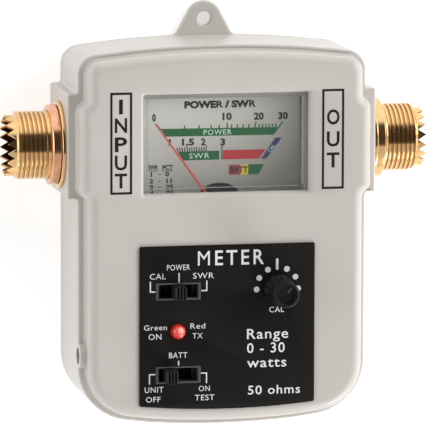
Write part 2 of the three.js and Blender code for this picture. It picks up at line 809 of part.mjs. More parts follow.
// The needle is drawn pointing along +x from the pivot and then turned to its rest angle
function needle() {
  const z = [needleFront - needleThickness, needleFront];
  const pointer = plate(outline([
    [0, -needleRootHalfWidth, 0],
    [needleLength, -needleTipHalfWidth, 0],
    [needleLength, needleTipHalfWidth, 0],
    [0, needleRootHalfWidth, 0],
  ]), z);
  const tail = block([-needleTail, 0], [-needleTailHalfWidth, needleTailHalfWidth], z);
  return pointer.add(tail)
    .add(rod(0, 0, z, hubRadius, smallSides))
    .subtract(rod(0, 0, [z[0] - overrun, z[1] + overrun], staffRadius + gap, smallSides));
}

function pivotStaff() {
  const front = bridgeBack - bearingHeight - threadGap;
  const back = pocketFloor + threadGap;
  return turned([
    [0, back - pivotLength],
    [pivotRadius, back - pivotLength],
    [pivotRadius, back],
    [staffRadius, back],
    [staffRadius, front],
    [pivotRadius, front],
    [pivotRadius, front + pivotLength],
    [0, front + pivotLength],
  ], smallSides);
}

// The coil lies square to the needle
function movingCoil() {
  const loop = block([-coilHalfDepth, coilHalfDepth], [-coilOuter, coilOuter], [coilBack, coilFront]);
  const inside = [coilBack + coilWire, coilFront - coilWire];
  return loop
    .subtract(block([-coilHalfDepth - overrun, coilHalfDepth + overrun], [-coilInner, coilInner], inside))
    .subtract(rod(0, 0, [coilBack - overrun, coilFront + overrun], staffRadius + slideGap, smallSides));
}

// A flat spiral strip, one unbroken tube of square section
function hairspring() {
  const steps = springTurns * smallSides;
  const route = Array.from({ length: steps + 1 }, (_, i) => {
    const share = i / steps;
    const radius = springInner + (springOuter - springInner) * share;
    const angle = 2 * Math.PI * springTurns * share;
    return new THREE.Vector3(radius * Math.cos(angle), radius * Math.sin(angle), 0);
  });
  const half = springStrip / 2;
  const strip = new THREE.Shape([
    new THREE.Vector2(-springHeight / 2, -half),
    new THREE.Vector2(springHeight / 2, -half),
    new THREE.Vector2(springHeight / 2, half),
    new THREE.Vector2(-springHeight / 2, half),
  ]);
  const geometry = new THREE.ExtrudeGeometry(strip, {
    steps,
    extrudePath: new THREE.CatmullRomCurve3(route),
    bevelEnabled: false,
  });
  geometry.translate(0, 0, -springDepth);
  return solid(geometry);
}

function meterCore() {
  const middle = coreFront - coreHeight / 2;
  const reach = yokeInner - gap;
  const bar = [middle - coreBarHeight / 2, middle + coreBarHeight / 2];
  return rod(0, 0, [coreBack, coreFront], coreRadius, roundSides)
    .add(block([-coreBarHalfWidth, coreBarHalfWidth], [-reach, reach], bar))
    .subtract(rod(0, 0, [coreBack - overrun, coreFront + overrun], staffRadius + gap, smallSides));
}

function meterYoke() {
  return rod(0, 0, [yokeBack, yokeFront], yokeOuter, roundSides)
    .subtract(rod(0, 0, [yokeBack - overrun, yokeFront + overrun], yokeInner, roundSides));
}

function bearingBridge() {
  const strip = block([-bridgeHalfWidth, bridgeHalfWidth], [-bridgeHalfHeight, bridgeHalfHeight], [bridgeBack, bridgeFront]);
  let bridge = strip.add(rod(0, 0, [bridgeBack - bearingHeight, bridgeFront], bearingRadius, smallSides));
  for (const side of [-1, 1]) {
    const x = [side * bridgeHalfWidth, side * (bridgeHalfWidth - bridgeLeg)].sort((a, b) => a - b);
    bridge = bridge.add(block(x, [-bridgeHalfHeight, bridgeHalfHeight], [meterInnerFloor, bridgeFront]));
  }
  const postX = springOuter + springStrip + gap;
  const post = block([postX, postX + springPost], [-springPost / 2, springPost / 2], [-springDepth, bridgeFront]);
  const hole = [bridgeBack - bearingHeight - overrun, bridgeBack - bearingHeight + pivotLength];
  return bridge.add(post).subtract(rod(0, 0, hole, pivotRadius + threadGap, smallSides));
}

function circuitBoard() {
  const corners = [
    [boardBottomHalfWidth, boardBottom, 0],
    [boardHalfWidth, boardSideBottom, 0],
    [boardHalfWidth, boardTop, 0],
    [-boardHalfWidth, boardTop, 0],
    [-boardHalfWidth, boardSideBottom, 0],
    [-boardBottomHalfWidth, boardBottom, 0],
  ];
  let board = plate(outline(corners), [boardRear, boardFront]);
  for (const { x, y } of boardScrews) {
    board = board.subtract(rod(x, y, [boardRear - overrun, boardFront + overrun], smallScrewRadius + threadGap, smallSides));
  }
  return board;
}

const switchFront = faceBack - gap;
const slideFront = switchFront - switchLip - slideGap;

function switchBody() {
  const room = switchTravel + slideHalfWidth + slideGap;
  const roomHeight = slideHalfHeight + slideGap;
  const back = slideFront - slideThickness - slideGap;
  const slot = switchTravel + stemHalfWidth + slideGap;
  const slotHeight = stemHalfHeight + slideGap;
  return block([-switchHalfWidth, switchHalfWidth], [-switchHalfHeight, switchHalfHeight], [boardFront, switchFront])
    .subtract(block([-room, room], [-roomHeight, roomHeight], [back, switchFront - switchLip]))
    .subtract(block([-slot, slot], [-slotHeight, slotHeight], [back, switchFront + overrun]));
}

function switchSlider() {
  const slide = block([-slideHalfWidth, slideHalfWidth], [-slideHalfHeight, slideHalfHeight],
    [slideFront - slideThickness, slideFront]);
  const stem = block([-stemHalfWidth, stemHalfWidth], [-stemHalfHeight, stemHalfHeight], [slideFront - embed, stemTop]);
  let slider = slide.add(stem);
  for (let i = 0; i < stemGrooves; i += 1) {
    const x = (2 * stemHalfWidth * (i + 1)) / (stemGrooves + 1) - stemHalfWidth;
    const wide = [x - stemGrooveWidth / 2, x + stemGrooveWidth / 2];
    const deep = [stemTop - stemGrooveDepth, stemTop + overrun];
    slider = slider.subtract(block(wide, [-stemHalfHeight - overrun, stemHalfHeight + overrun], deep));
  }
  return slider;
}

function potBody() {
  const front = boardFront + potHeight;
  return block([-potHalfWidth, potHalfWidth], [-potHalfHeight, potHalfHeight], [boardFront, front])
    .add(rod(0, 0, [front - embed, faceBack / 2], bushRadius))
    .subtract(rod(0, 0, [boardFront + gap, overrun], shaftRadius + slideGap));
}

function potShaft() {
  return rod(0, 0, [boardFront + 2 * gap, knobTop - knobCrown - gap], shaftRadius);
}

function setKnob() {
  const base = panelThickness + knobLift;
  const bore = shaftRadius + slideGap;
  return turned([
    [bore, base],
    [knobBaseRadius, base],
    [knobTipRadius, knobTop - knobDish / 2],
    [knobTipRadius - knobDish / 2, knobTop],
    [knobTipRadius - knobRimWidth, knobTop],
    [knobTipRadius - knobRimWidth, knobTop - knobDish],
    [0, knobTop - knobDish],
    [0, knobTop - knobCrown],
    [bore, knobTop - knobCrown],
    [bore, base],
  ], roundSides);
}

function statusLamp() {
  const shoulder = panelThickness + lampLift - lampDome + embed;
  const dome = Array.from({ length: bevelSteps }, (_, i) => {
    const angle = (i + 1) * Math.PI / 2 / (bevelSteps + 1);
    return [lampRadius * Math.cos(angle), shoulder + lampDome * Math.sin(angle)];
  });
  let lamp = turned([
    [0, lampBase - lampFlangeHeight],
    [lampFlangeRadius, lampBase - lampFlangeHeight],
    [lampFlangeRadius, lampBase],
    [lampRadius, lampBase],
    [lampRadius, shoulder],
    ...dome,
    [0, shoulder + lampDome],
  ], mediumSides);
  for (const x of [-lampLegSpacing, 0, lampLegSpacing]) {
    const wide = [x - lampLegHalfWidth, x + lampLegHalfWidth];
    lamp = lamp.add(block(wide, [-lampLegHalfWidth, lampLegHalfWidth], [boardFront, lampBase]));
  }
  return lamp;
}

function sideJack() {
  const from = jackInner + gap;
  const nose = [jackNoseInset - caseHalfWidth, from + embed];
  return rodAlongX([from, from + jackLength], jackY, -jackDepth, collarRadius)
    .add(rodAlongX(nose, jackY, -jackDepth, jackHoleRadius - gap))
    .subtract(rodAlongX([-caseHalfWidth, from + jackLength - jackEnd], jackY, -jackDepth, jackBore));
}

const batteryLeft = -bayHalfWidth + gap;
const batteryRight = batteryLeft + batteryLength;
const batteryMiddle = (batteryTop + batteryBottom) / 2;
const batteryAxis = (batteryRear + batteryFront) / 2;

function battery() {
  const geometry = new THREE.ExtrudeGeometry(new THREE.Shape(outline([
    [batteryFront, batteryBottom, batteryCorner],
    [batteryFront, batteryTop, batteryCorner],
    [batteryRear, batteryTop, batteryCorner],
    [batteryRear, batteryBottom, batteryCorner],
  ])), { depth: batteryLength, bevelEnabled: false });
  geometry.rotateY(Math.PI / 2);
  geometry.scale(1, 1, -1);
  geometry.translate(batteryLeft, 0, 0);
  let cell = flipped(geometry);
  for (const side of [-1, 1]) {
    const y = batteryMiddle + (side * terminalSpacing) / 2;
    const x = [batteryRight - embed, batteryRight + terminalHeight];
    cell = cell.add(rodAlongX(x, y, batteryAxis, terminalRadius, smallSides));
  }
  return cell;
}

// A mirrored geometry with its faces turned outwards again
function flipped(geometry) {
  const position = geometry.attributes.position;
  const turn = new THREE.BufferGeometry();
  const points = [];
  for (let i = 0; i < position.count; i += 3) {
    for (const k of [i, i + 2, i + 1]) points.push(position.getX(k), position.getY(k), position.getZ(k));
  }
  turn.setAttribute('position', new THREE.Float32BufferAttribute(points, 3));
  return solid(turn);
}

function batterySnap() {
  const x = [batteryRight + gap, batteryRight + snapLengthwise];
  const y = [batteryMiddle - snapLength / 2, batteryMiddle + snapLength / 2];
  let snap = block(x, y, [batteryAxis - snapHeight / 2, batteryAxis + snapHeight / 2]);
  for (const side of [-1, 1]) {
    const socket = [x[0] - overrun, batteryRight + terminalHeight + gap];
    const place = batteryMiddle + (side * terminalSpacing) / 2;
    snap = snap.subtract(rodAlongX(socket, place, batteryAxis, terminalRadius + gap, smallSides));
  }
  return snap;
}

function lead(points) {
  const section = new THREE.Shape(Array.from({ length: leadSides }, (_, i) => {
    const angle = (2 * Math.PI * i) / leadSides;
    return new THREE.Vector2(leadRadius * Math.cos(angle), leadRadius * Math.sin(angle));
  }));
  return solid(new THREE.ExtrudeGeometry(section, {
    steps: leadSteps,
    extrudePath: new THREE.CatmullRomCurve3(points.map(([x, y, z]) => new THREE.Vector3(x, y, z))),
    bevelEnabled: false,
  }));
}

const leadLevel = boardRear - gap - leadRadius;
const snapX = batteryRight + snapLengthwise / 2;
const snapFront = batteryAxis + snapHeight / 2 + gap;
const leadRow = boardTop - terminalRadius;

function batteryLead(side) {
  const startY = batteryMiddle + (side + 2) * leadBend;
  const endX = terminalSpacing + side * leadBend;
  return lead([
    [snapX, startY, snapFront],
    [snapX, startY, (snapFront + leadLevel) / 2 - leadRadius],
    [snapX - leadBend, startY + leadBend / 2, leadLevel],
    [(snapX + endX) / 2, (startY + leadRow) / 2, leadLevel],
    [endX, leadRow - leadBend, leadLevel],
    [endX, leadRow, leadLevel],
  ]);
}

const leadBend = 2;

function meterLead(side) {
  const x = side * terminalHeight * 2;
  const behind = meterBack - gap;
  return lead([
    [x, meterBottom + leadBend, behind],
    [x, meterBottom + leadBend / 2, behind - leadBend],
    [x, (meterBottom + leadRow) / 2, behind - leadBend],
    [x, leadRow, behind + leadBend],
    [x, leadRow, boardRear - gap],
  ]);
}

function senseLead(side) {
  const x = side * terminalSpacing;
  const level = meterBack - gap - leadRadius;
  return lead([
    [x, couplerBottom + leadBend, couplerFront + gap],
    [x, couplerBottom, level],
    [x, (couplerBottom + leadRow) / 2, level],
    [x, leadRow + leadBend, level],
    [x, leadRow, level + leadBend],
    [x, leadRow, boardRear - gap],
  ]);
}

function couplerBoard() {
  const y = [couplerBottom, couplerTop];
  let board = block([-couplerHalfWidth, couplerHalfWidth], y, [couplerBack, couplerFront]);
  for (const { x, y: place } of couplerScrews) {
    const through = [couplerBack - overrun, couplerFront + overrun];
    board = board.subtract(rod(x, place, through, smallScrewRadius + threadGap, smallSides));
  }
  return board;
}

function throughLine() {
  const end = tailEnd - gap;
  return rodAlongX([-end, end], socketY, socketZ, lineRadius, smallSides);
}

// The sockets are drawn with their axis along z, and turned to point left or right
function socketBody() {
  const mouth = crownTip - mouthDepth;
  const bore = insulatorRadius + gap;
  const flangeFront = bossHalfWidth - caseWall - gap;
  const back = flangeFront - flangeThickness;
  let body = turned([
    [bore - insulatorLip, back],
    [flangeRadius, back],
    [flangeRadius, flangeFront],
    [socketThreadRadius, flangeFront],
    [socketThreadRadius, socketThreadEnd],
    [crownRadius, crownBase],
    [crownRadius, crownTip],
    [crownRadius - crownWall, crownTip],
    [crownRadius - crownWall, mouth],
    [bore, mouth],
    [bore, back + insulatorLip],
    [bore - insulatorLip, back + insulatorLip],
    [bore - insulatorLip, back],
  ], roundSides);
  const flat = socketDepth - ledgeDepth - caseWall - gap;
  for (const side of [-1, 1]) {
    const x = [side * flat, side * (flangeRadius + overrun)].sort((a, b) => a - b);
    body = body.subtract(block(x, [-flangeRadius, flangeRadius], [back - overrun, flangeFront]));
  }
  const halfPitch = crownRadius * Math.tan(Math.PI / crownTeeth);
  const notch = [
    new THREE.Vector2(-halfPitch, crownTip + overrun / 2),
    new THREE.Vector2(0, crownBase),
    new THREE.Vector2(halfPitch, crownTip + overrun / 2),
  ];
  for (let i = 0; i < crownTeeth / 2; i += 1) {
    const cutter = new THREE.ExtrudeGeometry(new THREE.Shape(notch), { depth: 4 * crownRadius, bevelEnabled: false });
    cutter.translate(0, 0, -2 * crownRadius);
    cutter.rotateX(Math.PI / 2);
    cutter.rotateZ((2 * Math.PI * (i + 1 / 2)) / crownTeeth);
    body = body.subtract(solid(cutter));
  }
  return body;
}

function socketInsulator() {
  const mouth = crownTip - mouthDepth;
  const back = bossHalfWidth - caseWall - gap - flangeThickness + insulatorLip + gap;
  const bore = contactRadius + gap;
  return turned([[bore, back], [insulatorRadius, back], [insulatorRadius, mouth], [bore, mouth], [bore, back]], mediumSides);
}

function socketContact() {
  const mouth = crownTip - mouthDepth + gap;
  return turned([
    [0, tailEnd],
    [tailRadius, tailEnd],
    [tailRadius, contactBack],
    [contactRadius, contactBack],
    [contactRadius, mouth],
    [contactBore, mouth],
    [contactBore, mouth - contactBoreDepth],
    [0, mouth - contactBoreDepth],
  ], mediumSides);
}

function socketWasher() {
  const bore = socketThreadRadius + gap;
  const from = bossHalfWidth;
  const to = from + washerThickness;
  return turned([[bore, from], [washerRadius, from], [washerRadius, to], [bore, to], [bore, from]], roundSides);
}

function socketNut() {
  const bore = socketThreadRadius + gap;
  const from = bossHalfWidth + washerThickness + slideGap;
  const to = from + nutThickness;
  return turned([
    [bore, from],
    [nutRadius, from],
    [nutRadius, to - nutChamfer],
    [nutRadius - nutChamfer, to],
    [bore, to],
    [bore, from],
  ], roundSides);
}

// Nodes
function node(name, shape, surface, place = [0, 0, 0], angle = 0) {
  const data = shape.getMesh();
  const geometry = new THREE.BufferGeometry();
  geometry.setAttribute('position', new THREE.BufferAttribute(new Float32Array(data.vertProperties), 3));
  geometry.setIndex(new THREE.BufferAttribute(new Uint32Array(data.triVerts), 1));
  geometry.computeVertexNormals();
  const mesh = new THREE.Mesh(geometry, new THREE.MeshStandardMaterial(surface));
  mesh.name = name;
  mesh.position.set(...place);
  mesh.rotation.z = angle;
  return mesh;
}

function caseGroup() {
  const group = new THREE.Group();
  group.add(node('case_front', caseFront(), shellGrey));
  group.add(node('case_back', caseBack(), shellGrey));
  group.add(node('battery_door', batteryDoor(), shellGrey));
  group.add(node('control_panel', controlPanel(), panelBlack));
  caseScrews.forEach(({ x, y }, i) => {
    const shape = screw(caseScrewRadius, caseScrewLength, caseHeadRadius, caseHeadHeight);
    group.add(node(`case_screw_${i + 1}`, shape, steel, [x, y, rearZ + casePocketDepth]));
  });
  group.add(node('side_jack', sideJack(), softBlack));
  return group;
}

function meterGroup() {
  const group = new THREE.Group();
  const pivot = [pivotX, pivotY, 0];
  const restAngle = THREE.MathUtils.degToRad(sweepStart);
  const middleAngle = THREE.MathUtils.degToRad(sweepStart - sweepAngle / 2 - 90);
  group.add(node('meter_window', meterWindow(), clear));
  group.add(node('meter_case', meterCase(), softBlack));
  group.add(node('dial_plate', dialPlate(), dialGrey));
  group.add(node('needle', needle(), needleRed, pivot, restAngle));
  group.add(node('pivot_staff', pivotStaff(), steel, pivot));
  group.add(node('moving_coil', movingCoil(), copper, pivot, restAngle));
  group.add(node('hairspring', hairspring(), nickel, pivot));
  group.add(node('meter_core', meterCore(), ferrite, pivot, middleAngle));
  group.add(node('meter_yoke', meterYoke(), steel, pivot));
  group.add(node('bearing_bridge', bearingBridge(), nickel, pivot));
  meterScrews.forEach(({ x, y }, i) => {
    const shape = screw(smallScrewRadius, smallScrewLength, smallHeadRadius, smallHeadHeight);
    group.add(node(`meter_screw_${i + 1}`, shape, steel, [x, y, meterRim - earThickness]));
  });
  return group;
}

function boardGroup() {
  const group = new THREE.Group();
  group.add(node('circuit_board', circuitBoard(), boardGreen));
  for (const { name, x, y, rest } of switches) {
    group.add(node(`${name}_switch_body`, switchBody(), steel, [x, y, 0]));
    group.add(node(`${name}_slider`, switchSlider(), softBlack, [x + rest, y, 0]));
  }
  group.add(node('set_pot_body', potBody(), steel, [knobX, modeY, 0]));
  group.add(node('set_pot_shaft', potShaft(), nickel, [knobX, modeY, 0]));
  group.add(node('set_knob', setKnob(), softBlack, [knobX, modeY, 0]));
  group.add(node('status_lamp', statusLamp(), lampRed, [switchX, lampY, 0]));
  boardScrews.forEach(({ x, y }, i) => {
    const shape = screw(smallScrewRadius, smallScrewLength, smallHeadRadius, smallHeadHeight);
    group.add(node(`board_screw_${i + 1}`, shape, steel, [x, y, boardRear]));
  });
  return group;
}

function powerGroup() {
  const group = new THREE.Group();
  group.add(node('battery', battery(), batteryBlue));
  group.add(node('battery_snap', batterySnap(), softBlack));
  group.add(node('battery_lead_plus', batteryLead(1), leadRed));
  group.add(node('battery_lead_minus', batteryLead(-1), leadBlack));
  group.add(node('meter_lead_plus', meterLead(1), leadRed));
  group.add(node('meter_lead_minus', meterLead(-1), leadBlack));
  return group;
}

function lineGroup() {
  const group = new THREE.Group();
  group.add(node('coupler_board', couplerBoard(), boardGreen));
  group.add(node('through_line', throughLine(), copper));
  group.add(node('sense_lead_forward', senseLead(1), leadRed));
  group.add(node('sense_lead_reflected', senseLead(-1), leadBlack));
  couplerScrews.forEach(({ x, y }, i) => {
    const shape = screw(smallScrewRadius, smallScrewLength, smallHeadRadius, smallHeadHeight).rotate([180, 0, 0]);
    group.add(node(`coupler_screw_${i + 1}`, shape, steel, [x, y, couplerFront]));
  });
  for (const [name, side] of [['radio', -1], ['antenna', 1]]) {
    const socket = new THREE.Group();
    socket.position.set(0, socketY, socketZ);
    socket.rotation.y = (side * Math.PI) / 2;
    socket.add(node(`${name}_socket_body`, socketBody(), gold));
    socket.add(node(`${name}_socket_insulator`, socketInsulator(), ptfe));
    socket.add(node(`${name}_socket_contact`, socketContact(), gold));
    socket.add(node(`${name}_socket_washer`, socketWasher(), gold));
    socket.add(node(`${name}_socket_nut`, socketNut(), gold));
    group.add(socket);
  }
  return group;
}

const tester = new THREE.Group();
const inner = new THREE.Group();
inner.position.set(0, -middleY, caseDepth);
inner.add(caseGroup(), meterGroup(), boardGroup(), powerGroup(), lineGroup());
tester.add(inner);

export default tester;
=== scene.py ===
import math

import bmesh
import bpy
import numpy as np
from mathutils import Matrix, Vector
from mathutils.geometry import tessellate_polygon


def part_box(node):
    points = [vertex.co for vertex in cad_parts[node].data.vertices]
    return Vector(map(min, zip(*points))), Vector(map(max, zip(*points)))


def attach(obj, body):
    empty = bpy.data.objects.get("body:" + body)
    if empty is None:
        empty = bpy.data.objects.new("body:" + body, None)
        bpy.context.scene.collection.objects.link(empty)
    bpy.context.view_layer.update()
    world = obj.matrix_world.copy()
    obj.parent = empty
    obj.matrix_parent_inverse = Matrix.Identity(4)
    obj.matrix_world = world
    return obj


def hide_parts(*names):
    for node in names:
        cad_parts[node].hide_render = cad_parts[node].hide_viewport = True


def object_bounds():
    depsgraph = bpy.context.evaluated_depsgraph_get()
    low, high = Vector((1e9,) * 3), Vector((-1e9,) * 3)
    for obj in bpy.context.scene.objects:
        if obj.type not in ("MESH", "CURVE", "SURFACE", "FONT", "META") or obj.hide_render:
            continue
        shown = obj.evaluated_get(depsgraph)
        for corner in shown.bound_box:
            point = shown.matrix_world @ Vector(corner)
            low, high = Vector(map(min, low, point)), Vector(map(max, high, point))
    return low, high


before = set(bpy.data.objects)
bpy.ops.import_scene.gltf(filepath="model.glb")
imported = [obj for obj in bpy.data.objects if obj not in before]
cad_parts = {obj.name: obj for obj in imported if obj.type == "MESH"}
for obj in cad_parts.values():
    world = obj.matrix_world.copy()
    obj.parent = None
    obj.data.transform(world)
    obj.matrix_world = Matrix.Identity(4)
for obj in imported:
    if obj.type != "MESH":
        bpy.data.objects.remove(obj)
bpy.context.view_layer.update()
scene = bpy.context.scene
print("frame loaded:", len(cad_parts), "nodes")

# Drawing coordinates: millimetres, x to the right, y towards the hang tab, z out of the front face.
# The face is at z = 0 and y = 0 lies below the top of the case by the amount given here.
mm = 0.001
topAboveZero = 27.6
faceLow, faceHigh = (np.array(corner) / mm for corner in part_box("case_front"))
zeroAt = np.array([0, faceHigh[1] - topAboveZero, faceHigh[2]])


def toFrame(points):
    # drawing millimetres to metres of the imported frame
    return (np.asarray(points, float) + zeroAt) * mm


def nodeBox(name):
    # lowest and highest corner of a CAD node, in drawing millimetres
    return [np.array(corner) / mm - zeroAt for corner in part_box(name)]


# Outlines. A corner is x, y and the radius of its round; corners run anticlockwise.
def movedIn(corners, inset):
    # every side shifts inwards by inset and meets its neighbours where the shifted lines cross
    xy, radius = corners[:, :2], corners[:, 2]
    along = np.roll(xy, -1, 0) - xy
    along /= np.linalg.norm(along, axis=1, keepdims=True)
    start = xy + inset * np.stack([-along[:, 1], along[:, 0]], 1)
    before, beforeAlong = np.roll(start, 1, 0), np.roll(along, 1, 0)
    cross = beforeAlong[:, 0] * along[:, 1] - beforeAlong[:, 1] * along[:, 0]
    apart = start - before
    reach = (apart[:, 0] * along[:, 1] - apart[:, 1] * along[:, 0]) / cross
    rounded = np.where(radius > 0, np.maximum(radius - np.sign(cross) * inset, 0), 0)
    return np.column_stack([before + beforeAlong * reach[:, None], rounded])


def outline(corners, inset=0.0, steps=10):
    # each round is an arc whose centre lies a radius off both sides; a corner without one is a single point
    corners = np.array(corners, float)
    hasRound = corners[:, 2] > 0
    if inset:
        corners = movedIn(corners, inset)
    xy, radius = corners[:, :2], corners[:, 2]
    arrive = xy - np.roll(xy, 1, 0)
    arrive /= np.linalg.norm(arrive, axis=1, keepdims=True)
    leave = np.roll(arrive, -1, 0)
    cross = arrive[:, 0] * leave[:, 1] - arrive[:, 1] * leave[:, 0]
    turn = np.arctan2(cross, (arrive * leave).sum(1))
    side = np.sign(turn)
    back = arrive * (radius * np.tan(np.abs(turn) / 2))[:, None]
    left = np.stack([-arrive[:, 1], arrive[:, 0]], 1) * (side * radius)[:, None]
    start = np.arctan2(-side * arrive[:, 0], side * arrive[:, 1])
    share = np.linspace(0, 1, steps + 1)
    angle = start[:, None] + turn[:, None] * share
    arcs = (xy - back + left)[:, None] + radius[:, None, None] * np.stack([np.cos(angle), np.sin(angle)], 2)
    return arcs[hasRound[:, None] | (share == 0)]


def rectangle(centre, halfSize, radius=0.0):
    # corners at the centre plus and minus the half size
    (x, y), (w, h) = centre, halfSize
    return [[x - w, y - h, radius], [x + w, y - h, radius], [x + w, y + h, radius], [x - w, y + h, radius]]


def disc(centre, radius, sides=48):
    # points of a circle, as corners without rounds
    angle = np.arange(sides) * 2 * math.pi / sides
    x, y = centre[0] + radius * np.cos(angle), centre[1] + radius * np.sin(angle)
    return np.column_stack([x, y, 0 * angle])


def sag(radius, x):
    # how far an arc of that radius has dropped at x from its middle
    return radius - math.sqrt(radius * radius - x * x)


def bothSides(right, bottom, top):
    # the right half's corners and the same ones at minus x, with a corner at x = 0 between them at each end
    mirrored = [[-x, y, radius] for x, y, radius in reversed(right)]
    return [[0, bottom, 0], *right, [0, top, 0], *mirrored]


def level(ring, z):
    # an outline's x and y, all at one height
    return np.column_stack([ring, np.full(len(ring), z)])


def quarter(radius, steps=6):
    # inset and height of a quarter circle, from an upright wall to a flat top
    angle = np.linspace(0, math.pi / 2, steps + 1)
    return np.column_stack([radius * (1 - np.cos(angle)), radius * np.sin(angle)])


def softLevels(low, high, edge, steps=6):
    # inset and height of an upright wall from low to high, drawn in by a quarter circle at both ends
    bend = quarter(edge, steps) if edge else np.zeros((1, 2))
    return [(i, low + edge - h) for i, h in bend[::-1]] + [(i, high - edge + h) for i, h in bend]


class Patchwork:  # one piece's points and faces, gathered patch by patch in drawing millimetres
    def __init__(self):
        self.points, self.faces, self.total = [], [], 0

    def add(self, points, faces):
        self.points.append(np.asarray(points, float))
        self.faces += (np.asarray(faces) + self.total).tolist()
        self.total += len(points)
        return self

    def grid(self, rows, closedRows=False, closedColumns=True):
        # quads between neighbours of a rows x columns x 3 array
        rows = np.asarray(rows, float)
        index = np.arange(rows.shape[0] * rows.shape[1]).reshape(rows.shape[:2])
        if closedRows:
            index = np.vstack([index, index[:1]])
        if closedColumns:
            index = np.hstack([index, index[:, :1]])
        quads = np.stack([index[:-1, :-1], index[:-1, 1:], index[1:, 1:], index[1:, :-1]], 2)
        return self.add(rows.reshape(-1, 3), quads.reshape(-1, 4))

    def cap(self, *loops):
        # one face fills a single loop; with holes, triangles fill the first loop and leave the others open
        if len(loops) == 1:
            return self.add(loops[0], [range(len(loops[0]))])
        triangles = tessellate_polygon([[Vector(point) for point in loop] for loop in loops])
        return self.add(np.concatenate(loops), triangles)

    def slab(self, corners, low, high, edge=0.0, holes=(), steps=4, arcSteps=10):
        # an outline carried from low to high, drawn in by a quarter circle at both ends; holes go through
        levels = softLevels(low, high, edge, steps)
        walls = [[level(outline(corners, i, arcSteps), z) for i, z in levels]]
        walls += [[level(outline(hole, -i, arcSteps), z) for i, z in levels] for hole in holes]
        for wall in walls:
            self.grid(wall)
        for end in (0, -1):
            self.cap(*[wall[end] for wall in walls])
        return self

    def turned(self, section, place=(0, 0), columns=96, arcSteps=5):
        # a closed section of radius and height goes round the z axis at a place
        ring = outline(section, 0, arcSteps)
        angle = np.arange(columns) * 2 * math.pi / columns
        x = place[0] + ring[:, :1] * np.cos(angle)
        y = place[1] + ring[:, :1] * np.sin(angle)
        return self.grid(np.stack([x, y, np.repeat(ring[:, 1:], columns, 1)], 2), closedRows=True)

    def swapped(self, axes, signs=(1, 1, 1), shift=(0, 0, 0)):
        # the same patches with their axes exchanged, such as a turned part laid along x
        self.points = [points[:, axes] * signs + shift for points in self.points]
        return self

    def spun(self, degrees, place):
        # the same patches turned about the z axis and moved to a place
        c, s = math.cos(math.radians(degrees)), math.sin(math.radians(degrees))
        self.points = [points @ [[c, s, 0], [-s, c, 0], [0, 0, 1]] + (*place, 0) for points in self.points]
        return self

    def mesh(self, name, smooth=35):
        mesh = bpy.data.meshes.new(name)
        mesh.from_pydata(toFrame(np.concatenate(self.points)), [], self.faces)
        tidy(mesh, smooth)
        return mesh


def tidy(mesh, smooth=35, recalculate=True, merge=2e-7, slivers=0.0):
    # doubles merged, slivers and loose edges dropped, faces turned outwards, smooth up to an angle in degrees
    work = bmesh.new()
    work.from_mesh(mesh)
    bmesh.ops.remove_doubles(work, verts=work.verts, dist=merge)
    if slivers:
        bmesh.ops.dissolve_degenerate(work, edges=work.edges, dist=slivers)
    bmesh.ops.delete(work, geom=[edge for edge in work.edges if not edge.link_faces], context="EDGES")
    if recalculate:
        bmesh.ops.recalc_face_normals(work, faces=work.faces)
    work.to_mesh(mesh)
    work.free()
    mesh.polygons.foreach_set("use_smooth", [True] * len(mesh.polygons))
    mesh.set_sharp_from_angle(angle=math.radians(smooth))


def newObject(name, data):
    # an object for a mesh, curve, lamp or camera, put into the scene
    made = bpy.data.objects.new(name, data)
    scene.collection.objects.link(made)
    return made


def piece(name, shape, material, body="case", replaces=(), smooth=35):
    # a finished piece of the object, riding on its body
    made = shape if isinstance(shape, bpy.types.Object) else newObject(name, shape.mesh(name, smooth))
    made.data.materials.clear()
    made.data.materials.append(material)
    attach(made, body)
    if replaces:
        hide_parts(*replaces)
    return made


def combined(target, tools, smooth=35):
    # Boolean steps in turn; each tool is an operation and a Patchwork, and is removed afterwards
    for operation, shape in tools:
        tool = newObject("tool", shape.mesh("tool"))
        step = target.modifiers.new("step", "BOOLEAN")
        step.operation, step.object, step.solver = operation, tool, "EXACT"
        baked = bpy.data.meshes.new_from_object(target.evaluated_get(bpy.context.evaluated_depsgraph_get()))
        target.modifiers.clear()
        target.data = baked
        bpy.data.objects.remove(tool)
    tidy(target.data, smooth, recalculate=False)
    return target


# Shader maths, with the detail and roughness of each kind of noise
noiseKinds = dict(soft=(2.0, 0.5), grain=(2.0, 0.6), film=(3.0, 0.6), printed=(3.0, 0.5), patch=(0.0, 0.5))


class Wire:  # a socket on which + - * / and abs add Math nodes
    def __init__(self, net, socket):
        self.net, self.socket = net, socket

    def __add__(self, other):
        return self.net.maths("ADD", self, other)

    def __sub__(self, other):
        return self.net.maths("SUBTRACT", self, other)

    def __rsub__(self, other):
        return self.net.maths("SUBTRACT", other, self)

    def __mul__(self, other):
        return self.net.maths("MULTIPLY", self, other)

    def __truediv__(self, other):
        return self.net.maths("DIVIDE", self, other)

    def __abs__(self):
        return self.net.maths("ABSOLUTE", self)

    __radd__, __rmul__ = __add__, __mul__


